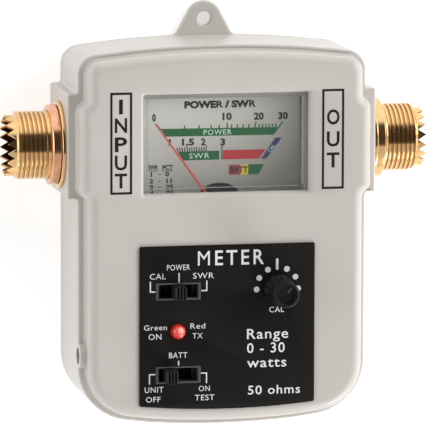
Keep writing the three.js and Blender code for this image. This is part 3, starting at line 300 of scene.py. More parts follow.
class Net:  # the nodes of one material, or of the world
    def __init__(self, name, world=False):
        self.owner = (bpy.data.worlds if world else bpy.data.materials).new(name)
        self.owner.use_nodes = True
        self.tree = self.owner.node_tree
        self.tree.nodes.clear()
        self.ending = "OutputWorld" if world else "OutputMaterial"

    def node(self, kind, settings=None, inputs=None, output=0):
        # one node: its settings first, then the values or links of its sockets
        made = self.tree.nodes.new("ShaderNode" + kind)
        for key, value in (settings or {}).items():
            if key == "stops":
                for _ in range(len(value) - 2):
                    made.color_ramp.elements.new(0.5)
                for element, (position, colour) in zip(made.color_ramp.elements, value):
                    element.position, element.color = position, colour
            else:
                setattr(made, key, value)
        for key, value in (inputs or {}).items():
            if isinstance(value, Wire):
                self.tree.links.new(value.socket, made.inputs[key])
            else:
                made.inputs[key].default_value = value
        return None if output is None else Wire(self, made.outputs[output])

    def maths(self, operation, first, second=0.0, clamp=False):
        return self.node("Math", {"operation": operation, "use_clamp": clamp}, {0: first, 1: second})

    def blend(self, share, first, second):
        # colour first where share is 0, second where it is 1
        return self.node("Mix", {"data_type": "RGBA"}, {0: share, 6: first, 7: second}, 2)

    def rising(self, value, edges):
        # 0 below the first edge, 1 above the second, smooth between
        return self.node("MapRange", {"interpolation_type": "SMOOTHSTEP"},
                         {0: value, 1: edges[0], 2: edges[1]})

    def ramp(self, share, stops):
        # a colour by a share, through stops of a place and a tone
        return self.node("ValToRGB", {"stops": [(place, tone(code)) for place, code in stops]}, {0: share})

    def coordinate(self, kind="Object"):
        return self.node("TexCoord", output=kind)

    def axes(self, kind="Object"):
        # x, y and z of a coordinate; the object's are in metres
        parts = self.node("SeparateXYZ", None, {"Vector": self.coordinate(kind)}).socket.node
        return [Wire(self, socket) for socket in parts.outputs]

    def place(self, size):
        # the object coordinate counted in lengths of size, in millimetres
        scale = tuple(1 / (length * mm) for length in size)
        return self.node("Mapping", None, {"Vector": self.coordinate(), "Scale": scale})

    def noise(self, size, kind="soft"):
        # noise from 0 to 1, of one size in millimetres or of one for each direction
        detail, roughness = noiseKinds[kind]
        stretch = size if isinstance(size, tuple) else (size,) * 3
        return self.node("TexNoise", None, {"Vector": self.place(stretch), "Scale": 1.0, "Detail": detail,
                                            "Roughness": roughness})

    def bump(self, height, shape):
        # a height from 0 to 1 as a normal, by a depth in millimetres and a strength
        depth, strength = shape
        return self.node("Bump", None, {"Height": height, "Distance": depth * mm, "Strength": strength})

    def close(self, shader):
        # the shader goes to the output, and the material or world is ready
        self.node(self.ending, output=None, inputs={0: shader})
        return self.owner

    def surface(self, sockets):
        return self.close(self.node("BsdfPrincipled", None, sockets))


def tone(code, alpha=1.0):
    # a colour as seen on a screen, such as "C8C4BE", as linear values
    shown = np.array([int(code[i:i + 2], 16) for i in (0, 2, 4)]) / 255
    linear = np.where(shown <= 0.04045, shown / 12.92, ((shown + 0.055) / 1.055) ** 2.4)
    return (*linear.tolist(), alpha)


print("tools ready")


# Finishes. Lengths are in millimetres and a tone is written as it shows on a screen. Roughness rises from its
# least by its spread with the grain, and a bump is a depth and a strength.
greyFinish = dict(deep="C8C3BC", pale="CFCAC4", cloud=21, grain=0.22, least=0.27, spread=0.12, gloss=0.5,
                  bump=(0.012, 0.5))


def mouldedGrey():
    # satin moulding: two tones clouded together, under a fine spark-eroded grain
    net, finish = Net("mouldedGrey"), greyFinish
    grain = net.noise(finish["grain"], "grain")
    colour = net.blend(net.noise(finish["cloud"]), tone(finish["deep"]), tone(finish["pale"]))
    return net.surface({"Base Color": colour, "Roughness": finish["least"] + grain * finish["spread"],
                        "Specular IOR Level": finish["gloss"], "Normal": net.bump(grain, finish["bump"])})


plasticFinish = dict(cloudGrains=25, spread=0.1, strength=0.5)


def plainPlastic(name, dark, light, least, grain=0.3, depth=0.01, gloss=0.5):
    # a solid plastic: two close tones clouded together over many grains, under a fine grain
    net, finish = Net(name), plasticFinish
    speck = net.noise(grain, "grain")
    colour = net.blend(net.noise(grain * finish["cloudGrains"]), tone(dark), tone(light))
    return net.surface({"Base Color": colour, "Roughness": least + speck * finish["spread"],
                        "Specular IOR Level": gloss, "Normal": net.bump(speck, (depth, finish["strength"]))})


inkFinish = dict(film=0.6, fade=0.86, spread=0.1, gloss=0.2, bump=(0.006, 0.4))


def printedInk(name, code, least=0.55):
    # screen-printed ink: its film is uneven, so the tone drifts between faded and full over each stroke
    net, finish = Net(name), inkFinish
    film = net.noise(finish["film"], "film")
    full = tone(code)
    faded = (*[part * finish["fade"] for part in full[:3]], 1.0)
    return net.surface({"Base Color": net.blend(film, faded, full),
                        "Roughness": least + film * finish["spread"],
                        "Specular IOR Level": finish["gloss"], "Normal": net.bump(film, finish["bump"])})


plateFinish = dict(drift=4, marks=(0.6, 0.6, 0.6), brushed=(0.2, 2, 0.2), spread=0.07, bump=(0.004, 0.35))
# The groove and inside tones are painted shade, in the thread and in the toothed mouth.
goldFinish = dict(deep="DDAF76", pale="ECCA92", least=0.14, groove="B98C58", grooveShare=0.8, inside="96683C")


def drifting(net, deep, pale):
    # a plating's tone, drifting between two over millimetres
    return net.blend(net.noise(plateFinish["drift"]), tone(deep), tone(pale))


def polished(net, colour, least, marks=plateFinish["marks"]):
    # polished metal of a colour, under hair marks of a length along each direction
    hair = net.noise(marks, "film")
    return net.surface({"Base Color": colour, "Metallic": 1.0,
                        "Roughness": least + hair * plateFinish["spread"],
                        "Normal": net.bump(hair, plateFinish["bump"])})


def plated(name, deep, pale, least, marks=plateFinish["marks"]):
    # plain plating in one metal, its tone drifting a little
    net = Net(name)
    return polished(net, drifting(net, deep, pale), least, marks)


# The stops are painted shade: light at the upper left, dark at the lower right.
dialFinish = dict(stops=((0.0, "D8D5D0"), (0.35, "BFBCB6"), (0.62, "A19E97"), (0.9, "7F7B74")),
                  acrossShare=0.52, downShare=0.58, satin=(0.4, 0.04, 1.0), least=0.5, spread=0.1, gloss=0.4,
                  bump=(0.003, 0.3))


def silverDialPaintedShade():
    # matt silvered dial under a fine upright satin; painted shade makes its tone fall with the way across
    # plus the way down
    net, finish = Net("silverDialPaintedShade"), dialFinish
    (left, bottom, _), (right, top, _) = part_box("dial_plate")
    x, y, _ = net.axes()
    across, down = (x - left) / (right - left), (top - y) / (top - bottom)
    share = net.maths("ADD", across * finish["acrossShare"], down * finish["downShare"], clamp=True)
    ramp = net.ramp(share, finish["stops"])
    satin = net.noise(finish["satin"])
    return net.surface({"Base Color": ramp, "Roughness": finish["least"] + satin * finish["spread"],
                        "Specular IOR Level": finish["gloss"], "Normal": net.bump(satin, finish["bump"])})


coverFinish = dict(tint=(0.97, 0.98, 0.975, 1), passing=(0.93, 0.94, 0.935, 1), index=1.49, haze=8,
                   least=0.01, spread=0.015)


def clearCover():
    # clear acrylic with a faint haze; rays from the lamps pass straight through, so that the dial is lit
    net, finish = Net("clearCover"), coverFinish
    rough = finish["least"] + net.noise(finish["haze"]) * finish["spread"]
    glass = net.node("BsdfPrincipled", None, {"Base Color": finish["tint"], "Roughness": rough,
                                              "IOR": finish["index"], "Transmission Weight": 1.0})
    straight = net.node("BsdfTransparent", None, {"Color": finish["passing"]})
    lamps = net.node("LightPath", output="Is Shadow Ray")
    return net.close(net.node("MixShader", None, {0: lamps, 1: glass, 2: straight}))


# The glow stops and the spot are a painted highlight and glow; the rim tone is painted shade.
lensFinish = dict(middle="DE4E38", rim="A82219", highlightSpot=(0.3, 0.5), reach=1.9, roughness=0.16, coat=0.6,
                  coatRoughness=0.05, strength=0.5,
                  glow=((0.0, "FFF2E4"), (0.28, "FFD9C4"), (0.5, "D9503C"), (1.0, "A01C16")))


def lampLensPaintedHighlight():
    # diffused red epoxy: a painted highlight and glow by the distance from a spot beside the dome's top, pale
    # near it, and painted shade, darker red at the rim
    net, finish = Net("lampLensPaintedHighlight"), lensFinish
    low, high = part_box("status_lamp")
    x, y = (low + high).xy / 2 + Vector(finish["highlightSpot"]) * mm
    highlightSpot = (x, y, high.z)
    away = net.node("VectorMath", {"operation": "DISTANCE"}, {0: net.coordinate(), 1: highlightSpot}, "Value")
    share = net.maths("DIVIDE", away, finish["reach"] * mm, clamp=True)
    glow = net.ramp(share, finish["glow"])
    return net.surface({"Base Color": net.blend(share, tone(finish["middle"]), tone(finish["rim"])),
                        "Roughness": finish["roughness"], "Coat Weight": finish["coat"],
                        "Coat Roughness": finish["coatRoughness"], "Emission Color": glow,
                        "Emission Strength": finish["strength"]})


resistFinish = dict(bare="17472C", track="2C6F45", patch=6, patchEdge=0.5, lengthways=2.0, crossways=2.4,
                    scale=0.5, distortion=1.2, trackEdge=0.62, roughness=0.35, coat=0.4, bump=(0.03, 0.6))


def boardResist():
    # solder resist over copper tracks: wavy stripes along x or y, chosen patch by patch
    net, finish = Net("boardResist"), resistFinish

    def stripes(direction, size):
        return net.node("TexWave", {"bands_direction": direction},
                        {"Vector": net.place((size,) * 3), "Scale": finish["scale"],
                         "Distortion": finish["distortion"]}, 1)

    patch = net.maths("GREATER_THAN", net.noise(finish["patch"], "patch"), finish["patchEdge"])
    wave = patch * stripes("X", finish["lengthways"]) + (1 - patch) * stripes("Y", finish["crossways"])
    track = net.maths("GREATER_THAN", wave, finish["trackEdge"])
    return net.surface({"Base Color": net.blend(track, tone(finish["bare"]), tone(finish["track"])),
                        "Roughness": finish["roughness"], "Coat Weight": finish["coat"],
                        "Normal": net.bump(track, finish["bump"])})


jacketFinish = dict(jacket="26314A", band="B98A4A", bandShare=0.68, bandMetal=0.7, film=0.8, least=0.32,
                    spread=0.1, bump=(0.008, 0.4))


def batteryJacket():
    # printed steel jacket: dark blue, and copper-coloured past a share of its length, at the terminal end
    net, finish = Net("batteryJacket"), jacketFinish
    low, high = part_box("battery")
    band = net.maths("GREATER_THAN", net.axes()[0], low.x + finish["bandShare"] * (high.x - low.x))
    film = net.noise(finish["film"], "printed")
    return net.surface({"Base Color": net.blend(band, tone(finish["jacket"]), tone(finish["band"])),
                        "Metallic": band * finish["bandMetal"],
                        "Roughness": finish["least"] + film * finish["spread"],
                        "Normal": net.bump(film, finish["bump"])})


trayFinish = dict(under="101010", beside="999690", margin=0.2, grain=0.3, least=0.5, spread=0.1,
                  bump=(0.01, 0.4))


def meterMoulding():
    # the meter's tray: silver-grey above a height just under the dial, black below it
    net, finish = Net("meterMoulding"), trayFinish
    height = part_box("dial_plate")[0].z - finish["margin"] * mm
    beside = net.maths("GREATER_THAN", net.axes()[2], height)
    grain = net.noise(finish["grain"])
    return net.surface({"Base Color": net.blend(beside, tone(finish["under"]), tone(finish["beside"])),
                        "Roughness": finish["least"] + grain * finish["spread"],
                        "Normal": net.bump(grain, finish["bump"])})


grey = mouldedGrey()
panelFilm = plainPlastic("panelFilm", "110F0C", "171512", 0.37, grain=0.25, depth=0.008, gloss=0.25)
controlBlack = plainPlastic("controlBlack", "11110F", "191917", 0.37, gloss=0.4)
knobBlack = plainPlastic("knobBlack", "0B0B0A", "11110F", 0.45, gloss=0.25)
# A grey that is a painted highlight on black plastic edges: the slot liners and the knob's pointer line.
edgeHighlightGrey = plainPlastic("edgeHighlightGrey", "4A4946", "585753", 0.35)
switchShell = plainPlastic("switchShell", "3C3B38", "484743", 0.4)
socketWhite = plainPlastic("socketWhite", "E4E1D8", "EFEDE6", 0.4)
ferrite = plainPlastic("ferrite", "202022", "2C2C2F", 0.55, grain=0.2, depth=0.02)
redSheath = plainPlastic("redSheath", "96201A", "B02A22", 0.4)
blackSheath = plainPlastic("blackSheath", "141415", "1C1C1E", 0.4)
markWhite = printedInk("markWhite", "F1F1EF")
dotWhite = printedInk("dotWhite", "DCDCD9")
labelInk = printedInk("labelInk", "231D18")
scaleGreen = printedInk("scaleGreen", "085A2C")
scaleBlack = printedInk("scaleBlack", "0E0D0C")
scaleRed = printedInk("scaleRed", "B02932")
scaleBlue = printedInk("scaleBlue", "37346A")
scaleYellow = printedInk("scaleYellow", "C9B13E")
batteryRed = printedInk("batteryRed", "8E3A40")
scalePale = printedInk("scalePale", "BFDCC8")
needleRed = printedInk("needleRed", "CC5341", 0.4)
goldPlate = plated("goldPlate", goldFinish["deep"], goldFinish["pale"], goldFinish["least"])
goldPink = plated("goldPink", "D89C76", "E5B18E", 0.16)
nickelPlate = plated("nickelPlate", "B9B5AB", "CFCCC4", 0.19)
zincSteel = plated("zincSteel", "A2A5A9", "BDC0C4", 0.27, plateFinish["brushed"])
blackSteel = plated("blackSteel", "1E1E20", "2A2A2C", 0.42)
copperWire = plated("copperWire", "A65A30", "C27A4A", 0.27)
dialFace = silverDialPaintedShade()
clear = clearCover()
lampRed = lampLensPaintedHighlight()
board = boardResist()
jacket = batteryJacket()
moulding = meterMoulding()
print("finishes ready")


# Case. Its outline follows the CAD shell; the raised face has the same corners, drawn in. A hold is a narrow
# flat strip beside a round, which keeps the shading of the round off the wall.
seamZ = nodeBox("case_front")[0][2]
rearZ = nodeBox("case_back")[0][2]
bossHalf = faceHigh[0]
overrun = 1.0  # how far a cut runs past what it cuts
case = dict(bossReach=2.39, wall=2.0, faceThickness=2.2, topArc=255, bottomArc=198, topCorner=4.7,
            bottomCorner=13, bossTop=16.8, bossBottom=-7.6, bossCorner=0.6, bossFillet=0.8, innerFillet=0.3,
            rim=0.5, seam=0.25, hold=0.2, topShares=(0.6, 0.45, 0.3, 0.15),
            bottomShares=(0.12, 0.25, 0.37, 0.5))
raised = dict(depth=5.87, side=1.65, top=1.25, bottom=1.6, boss=2.14, topCorner=3.5, bottomCorner=11.4,
              jogLow=(0.3, 1.75), jogHigh=(1.55, 2.9), jogCorner=2.6, jogFillet=1.2, round=2.5, fillet=0.4)
meterWell = dict(centre=(0, 5.3), half=(19.45, 11.55), corner=0.5, bevel=0.65, bevelDepth=1.1, lip=0.12,
                 frameWall=1.2, frameDepth=3.9)
jackPlace = dict(y=-44.1, z=-5.9, collar=2.95, hole=2.0, collarRound=0.5)
socketAt = nodeBox("radio_socket_body")
socketY, socketZ = ((socketAt[0] + socketAt[1]) / 2)[1:]
socketHole = 8.24
controls = dict(switchX=-11.54, modeY=-28.7, powerY=-48.2, slot=(4.8, 1.75), knobX=11.9, knobHole=3.2,
                lampY=-38.1, lampHole=1.85)
switchPlaces = [(controls["switchX"], controls[key]) for key in ("modeY", "powerY")]
knobPlace = (controls["knobX"], controls["modeY"])
lampPlace = (controls["switchX"], controls["lampY"])
caseHalf = bossHalf - case["bossReach"]
caseBottom = faceLow[1] - zeroAt[1]


def shellCorners(half, top, bottom, boss, jogLow, jogHigh, cornerTop, cornerBottom, outer, inner):
    # right half of an outline with a boss: bottom arc, lower corner, boss, upper corner, top arc; a jog's two
    # values say how far inside the boss's end it leaves the side, and how far inside it meets the boss
    lower = [[s * half, bottom + sag(case["bottomArc"], s * half), 0] for s in case["bottomShares"]]
    upper = [[s * half, top - sag(case["topArc"], s * half), 0] for s in case["topShares"]]
    return bothSides([
        *lower,
        [half, bottom + sag(case["bottomArc"], half), cornerBottom],
        [half, case["bossBottom"] + jogLow[0], inner], [boss, case["bossBottom"] + jogLow[1], outer],
        [boss, case["bossTop"] - jogHigh[1], outer], [half, case["bossTop"] - jogHigh[0], inner],
        [half, top - sag(case["topArc"], half), cornerTop],
        *upper], bottom, top)


def caseOutline(fillet):
    # the shell's outline, with its own fillet where the boss meets the side
    return shellCorners(caseHalf, topAboveZero, caseBottom, bossHalf, (0, 0), (0, 0), case["topCorner"],
                        case["bottomCorner"], case["bossCorner"], fillet)


caseCorners = caseOutline(case["bossFillet"])
innerCorners = caseOutline(case["innerFillet"])
raisedCorners = shellCorners(
    caseHalf - raised["side"], topAboveZero - raised["top"], caseBottom + raised["bottom"],
    bossHalf - raised["boss"], raised["jogLow"], raised["jogHigh"], raised["topCorner"],
    raised["bottomCorner"], raised["jogCorner"], raised["jogFillet"])


def rings(corners, places):
    # one closed row of points for each inset and height
    return [level(outline(corners, inset), z) for inset, z in places]


def turnedOnX(section, y, z, columns=64, side=1):
    # a closed section of radius and reach, turned round a line along x, on either side
    return Patchwork().turned(section, columns=columns).swapped((2, 1, 0), (side, 1, 1), (0, y, z))


def crossRod(ends, y, z, radius, edge=0.0, bore=0.0):
    # a rod or tube along x
    section = [[bore, ends[0], 0], [radius, ends[0], edge], [radius, ends[1], edge], [bore, ends[1], 0]]
    return turnedOnX(section, y, z)


def uprightRod(place, radius, low, high, columns):
    # a plain rod along z
    section = [[0, low, 0], [radius, low, 0], [radius, high, 0], [0, high, 0]]
    return Patchwork().turned(section, place, columns)


def caseFrontShell():
    # one skin: inner cap, inner walls, seam, outer wall, rim, ledge, fillet, raised wall, round, face
    wall, ledge, back, hold = case["wall"], -raised["depth"], -case["faceThickness"], case["hold"]
    rim, seam, over = quarter(case["rim"]), quarter(case["seam"], steps=3), quarter(raised["round"], steps=9)
    fillet = quarter(raised["fillet"], steps=4)
    inner = rings(raisedCorners, [(wall, back), (wall, ledge - wall)])
    inner += rings(innerCorners, [(wall, ledge - wall), (wall, seamZ)])
    outer = rings(caseCorners, [(i, seamZ + case["seam"] - h) for i, h in seam[::-1]])
    outer += rings(caseCorners, [(0, seamZ + 2 * case["seam"]), (0, ledge - case["rim"] - hold)])
    outer += rings(caseCorners, [(i, ledge - case["rim"] + h) for i, h in rim])
    outer += rings(caseCorners, [(case["rim"] + hold, ledge)])
    outer += rings(raisedCorners, [(-raised["fillet"] - hold, ledge)])
    outer += rings(raisedCorners, [(h - raised["fillet"], ledge + i) for i, h in fillet])
    outer += rings(raisedCorners, [(0, ledge + raised["fillet"] + hold), (0, -raised["round"] - hold)])
    outer += rings(raisedCorners, [(i, h - raised["round"]) for i, h in over])
    outer += rings(raisedCorners, [(raised["round"] + hold, 0)])
    shell = Patchwork().grid(inner + outer)

    opening = rectangle(meterWell["centre"], meterWell["half"], meterWell["corner"])
    bevel, lip, frameWall = meterWell["bevel"], meterWell["lip"], meterWell["frameWall"]
    through = [(0, 0), (0, back)]
    holes = [rings(opening, [(-bevel - lip, 0), (-bevel - lip / 3, -lip / 4), (-bevel + lip / 2, -lip),
                             (0, -meterWell["bevelDepth"]), (0, -meterWell["frameDepth"]),
                             (-frameWall, -meterWell["frameDepth"]), (-frameWall, back)])]
    holes += [rings(rectangle(place, controls["slot"]), through) for place in switchPlaces]
    holes.append(rings(disc(knobPlace, controls["knobHole"]), through))
    holes.append(rings(disc(lampPlace, controls["lampHole"]), through))
    for rows in holes:
        shell.grid(rows)
    shell.cap(outer[-1], *[rows[0] for rows in holes])
    shell.cap(inner[0], *[rows[-1] for rows in holes])

    front = newObject("case_front_shell", shell.mesh("case_front_shell"))
    insideWall = -(caseHalf - raised["side"] - wall)
    y, z = jackPlace["y"], jackPlace["z"]
    collar = crossRod([-caseHalf, insideWall], y, z, jackPlace["collar"], jackPlace["collarRound"])
    jackBore = crossRod([-bossHalf, insideWall + overrun], y, z, jackPlace["hole"])
    steps = [("UNION", collar), ("DIFFERENCE", jackBore)]
    for side in (-1, 1):
        ends = sorted([side * (bossHalf - wall - overrun), side * (bossHalf + overrun)])
        steps.append(("DIFFERENCE", crossRod(ends, socketY, socketZ, socketHole)))
    return combined(front, steps)


piece("case_front_shell", caseFrontShell(), grey, replaces=["case_front"])
print("case front made")

# Back cover with the hang tab, the battery bay and the pockets of the case screws
tab = dict(hole=(0, 31.4), holeRadius=1.75, top=4.25, lean=28, thickness=2.4, fillet=2, round=0.7,
           holeRound=0.3, lift=0.01, sunk=0.04)
doorBox = nodeBox("battery_door")
bay = dict(half=25.45, wall=1.2, top=-27.15, bottom=-54.25, front=-12.0, sunk=0.4, round=0.5, innerRound=0.3)
doorFit = dict(half=25.95, tongue=0.9, tongueThickness=0.6, tongueInset=1.2, gap=0.15, round=0.4)
screwPocket = dict(depth=1.7, head=2.15, bore=1.25)
screwNames = ["case_screw_%d" % number for number in (1, 2, 3, 4)]


def boxShape(low, high, corner=0.0):
    # a block with rounded upright edges, made as a slab
    centre, half = [(a + b) / 2 for a, b in zip(low, high)], [(b - a) / 2 for a, b in zip(low, high)]
    return Patchwork().slab(rectangle(centre[:2], half[:2], corner), low[2], high[2])


def flankAt(y):
    # half the ear's width at a height: a line that leans outwards and touches the round top
    lean = math.radians(tab["lean"])
    return (tab["top"] - (y - tab["hole"][1]) * math.sin(lean)) / math.cos(lean)


def tabCorners():
    # the flank runs from a fillet at the cover's rim up to the round top, and the left side mirrors the right
    base = flankAt(topAboveZero) + tab["fillet"]
    foot = topAboveZero - sag(case["topArc"], base) - tab["sunk"]
    top = tab["hole"][1] + tab["top"]
    right = [[base, foot - case["wall"], 0], [base, foot, 0], [flankAt(foot), foot, tab["fillet"]],
             [flankAt(top), top, tab["top"]]]
    left = [[-x, y, radius] for x, y, radius in reversed(right)]
    return right + left


def hangEar():
    # a closed shell of its own, sunk into the cover's rim and a hair above the cover's underside
    low, high = rearZ + tab["lift"], rearZ + tab["thickness"]
    outer = rings(tabCorners(), softLevels(low, high, tab["round"]))
    eye = disc(tab["hole"], tab["holeRadius"])
    inner = rings(eye, [(-i, z) for i, z in softLevels(low, high, tab["holeRound"])])
    return Patchwork().grid(outer).grid(inner).cap(outer[0], inner[0]).cap(outer[-1], inner[-1])


def caseBackShell():
    # the outline is carried from its rounded rear edge to the seam; the bay's walls are added, and the bay,
    # the door's seat and grooves and the screws' pockets and bores are cut away
    rim, seam, hold = quarter(case["rim"]), quarter(case["seam"], steps=3), case["hold"]
    rows = rings(caseCorners, [(case["rim"] + hold, rearZ)])
    rows += rings(caseCorners, [(i, rearZ + case["rim"] - h) for i, h in rim[::-1]])
    rows += rings(caseCorners, [(0, rearZ + case["rim"] + hold)])
    rows += rings(caseCorners, [(i, seamZ - case["seam"] + h) for i, h in seam])
    sheet = Patchwork().grid(rows).cap(rows[0]).cap(rows[-1])
    back = newObject("case_back_cover", sheet.mesh("case_back_cover"))

    half, wall, bottom, top, front = (bay[key] for key in ("half", "wall", "bottom", "top", "front"))
    steps = [("UNION", boxShape((-half - wall, bottom - wall, seamZ - bay["sunk"]),
                                (half + wall, top + wall, front), bay["round"])),
             ("DIFFERENCE", boxShape((-half, bottom, rearZ - overrun), (half, top, front + overrun),
                                     bay["innerRound"]))]
    gap = doorFit["gap"]
    wide, end, seat = doorFit["half"] + gap, doorBox[1][1] + gap, doorBox[1][2] + gap
    steps.append(("DIFFERENCE", boxShape((-wide, caseBottom - overrun, rearZ - overrun), (wide, end, seat),
                                         doorFit["round"])))
    grooved = wide + doorFit["tongue"]
    steps.append(("DIFFERENCE", boxShape(
        (-grooved, caseBottom - overrun, seat - doorFit["tongueThickness"] - 2 * gap),
        (grooved, end - doorFit["tongueInset"], seat))))
    for name in screwNames:
        low, high = nodeBox(name)
        place = ((low + high) / 2)[:2]
        deep = rearZ + screwPocket["depth"]
        pocket = uprightRod(place, screwPocket["head"], rearZ - overrun, deep, columns=48)
        bore = uprightRod(place, screwPocket["bore"], rearZ, seamZ + overrun, columns=32)
        steps += [("DIFFERENCE", pocket), ("DIFFERENCE", bore)]
    back = combined(back, steps)
    joined = bmesh.new()
    joined.from_mesh(back.data)
    joined.from_mesh(hangEar().mesh("hang_ear"))
    joined.to_mesh(back.data)
    joined.free()
    return back


piece("case_back_cover", caseBackShell(), grey, replaces=["case_back"])
print("back cover made")


edgeBevel = dict(segments=2, angle=40)


def smoothCopy(name, material, body, smooth=35, bevel=0.0):
    # a CAD node's own shape, merged, smoothed and with its edges softened
    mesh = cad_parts[name].data.copy()
    tidy(mesh, smooth, recalculate=False)
    made = newObject(name + "_dressed", mesh)
    if bevel:
        edge = made.modifiers.new("edge", "BEVEL")
        edge.width, edge.segments, edge.limit_method = bevel * mm, edgeBevel["segments"], "ANGLE"
        edge.angle_limit = math.radians(edgeBevel["angle"])
        baked = bpy.data.meshes.new_from_object(made.evaluated_get(bpy.context.evaluated_depsgraph_get()))
        made.modifiers.clear()
        made.data = baked
        tidy(made.data, smooth, recalculate=False)
    return piece(name + "_dressed", made, material, body, [name])


smoothCopy("battery_door", grey, "door", bevel=0.15)
for name in screwNames:
    smoothCopy(name, zincSteel, "case")

# Control panel: a thin black sheet with a curved lower edge, and the switch slots' lined edges
panel = dict(half=20.64, top=-18.1, corner=-55.4, sag=1.1, thickness=0.4, round=0.1, cornerRound=0.5,
             shares=(0.15, 0.3, 0.45, 0.6, 0.75, 0.9), knobHole=1.8)
slotFrame = dict(outer=(5.25, 1.98), inner=(4.6, 1.62), skirt=(0.15, 0.1), top=0.55, bottom=-1.9, round=0.12,
                 corner=0.15)


def controlPanel():
    # its lower edge is a parabola, lowest at the middle; the slots and round holes go through
    lower = [[s * panel["half"], panel["corner"] - panel["sag"] * (1 - s * s), 0] for s in panel["shares"]]
    right = [*lower, [panel["half"], panel["corner"], panel["cornerRound"]],
             [panel["half"], panel["top"], panel["cornerRound"]]]
    corners = bothSides(right, panel["corner"] - panel["sag"], panel["top"])
    corners.remove([0, panel["top"], 0])  # the upper edge is one straight side
    holes = [rectangle(place, controls["slot"]) for place in switchPlaces]
    holes += [disc(knobPlace, panel["knobHole"]), disc(lampPlace, controls["lampHole"])]
    return Patchwork().slab(corners, 0, panel["thickness"], panel["round"], holes)


def slotFrames():
    # one closed band round each slot: up the flange, over its edge, down the liner and up the skirt behind
    frames = Patchwork()
    (w, h), (moreW, moreH) = slotFrame["inner"], slotFrame["skirt"]
    shoulder, foot = slotFrame["top"] - slotFrame["round"], slotFrame["bottom"]
    bend = quarter(slotFrame["round"], steps=3)
    for place in switchPlaces:
        flange = rings(rectangle(place, slotFrame["outer"], slotFrame["corner"]),
                       [(0, panel["thickness"])] + [(i, shoulder + b) for i, b in bend])
        liner = rings(rectangle(place, (w, h), slotFrame["corner"]),
                      [(-i, shoulder + b) for i, b in bend[::-1]] + [(0, foot)])
        skirt = rings(rectangle(place, (w + moreW, h + moreH), slotFrame["corner"]),
                      [(0, foot), (0, panel["thickness"])])
        frames.grid(flange + liner + skirt, closedRows=True)
    return frames


piece("control_panel_sheet", controlPanel(), panelFilm, replaces=["control_panel"])
# the slots' lined edges are black plastic; their grey is a painted highlight
piece("slot_frames", slotFrames(), edgeHighlightGrey)
print("panel made")

# Slide switches: a plate under the face and a ribbed stem through the slot
slider = dict(stem=(1.45, 1.5), top=4.45, ribs=4, ribDepth=0.45, ribPower=3, shoulder=0.25, shoulderPower=8,
              columns=81, round=0.15, roundShare=0.3, sunk=0.3, plate=(2.6, 2.0), plateZ=(-5.45, -3.55),
              plateCorner=0.3, plateRound=0.1, rests=(("mode", 0.0), ("power", -2.0)))


def switchSlider(x, y):
    # the stem's section runs across x: between ribs its top dips by a power of a cosine, and it falls at the
    # shoulders by a power of x. It is carried along y, and its end rows are drawn in
    w, h = slider["stem"]
    share = np.linspace(1, -1, slider["columns"])
    wave = np.abs(np.cos(slider["ribs"] * math.pi * (share + 1) / 2))
    dip = slider["ribDepth"] * wave ** slider["ribPower"]
    fall = slider["shoulder"] * np.abs(share) ** slider["shoulderPower"]
    foot = slider["plateZ"][1] - slider["sunk"]
    across = np.concatenate([share * w, [-w, w]])
    upright = np.concatenate([slider["top"] - dip - fall, [foot, foot]])
    edge, near = slider["round"], slider["round"] * slider["roundShare"]
    rows = []
    ends = ((edge, -h), (near, near - h), (0, edge - h), (0, h - edge), (near, h - near), (edge, h))
    for drawn, along in ends:
        wide = x + across * (1 - drawn / w)
        rows.append(np.column_stack([wide, np.full(len(across), y + along), upright - drawn]))
    shape = Patchwork().grid(rows).cap(rows[0]).cap(rows[-1])
    return shape.slab(rectangle((x, y), slider["plate"], slider["plateCorner"]), *slider["plateZ"],
                      slider["plateRound"])


for (name, rest), (x, y) in zip(slider["rests"], switchPlaces):
    piece(name + "_slider_ribbed", switchSlider(x + rest, y), controlBlack, name,
          [name + "_slider"], smooth=30)

# Set knob: a slim cone with a rim round a dished top, and a moulded pointer line in the dish
knob = dict(base=0.8, top=10.3, baseRadius=3.55, baseRound=0.3, tipRadius=3.07, rim=0.7, rimRound=0.5,
            lipRound=0.15, dish=0.7, dishRound=0.2, bore=1.65, boreRound=0.1, crown=2.0, columns=128,
            mark=(0.5, 2.1), markHalf=0.17, markCorner=0.1, markRise=0.12, markSunk=0.05, markRound=0.05,
            markAngle=50)


def setKnob():
    # the section goes up the cone, over the rim, into the dish and down the bore, and is turned round z
    top, within = knob["top"], knob["tipRadius"] - knob["rim"]
    dish, crown = top - knob["dish"], top - knob["crown"]
    section = [[knob["bore"], knob["base"], knob["boreRound"]],
               [knob["baseRadius"], knob["base"], knob["baseRound"]],
               [knob["tipRadius"], top, knob["rimRound"]], [within, top, knob["lipRound"]],
               [within, dish, knob["dishRound"]], [0, dish, 0], [0, crown, 0], [knob["bore"], crown, 0]]
    return Patchwork().turned(section, knobPlace, knob["columns"])


def knobMark():
    # a low bar from near the axis to near the rim, sunk a little into the dish
    near, far = knob["mark"]
    dish = knob["top"] - knob["dish"]
    line = rectangle(((near + far) / 2, 0), ((far - near) / 2, knob["markHalf"]), knob["markCorner"])
    bar = Patchwork().slab(line, dish - knob["markSunk"], dish + knob["markRise"], knob["markRound"])
    return bar.spun(knob["markAngle"], knobPlace)


piece("set_knob_turned", setKnob(), knobBlack, "knob", ["set_knob"], 40)
# the pointer line is black plastic; its grey is a painted highlight
piece("knob_mark", knobMark(), edgeHighlightGrey, "knob")

# Lamp: a domed lens on its flange
lamp = dict(radius=1.7, flange=2.1, flangeHeight=0.8, flangeRound=0.1, shoulderRound=0.15, bottom=-6.1,
            top=2.3, dome=1.69, domeSteps=12, columns=64)


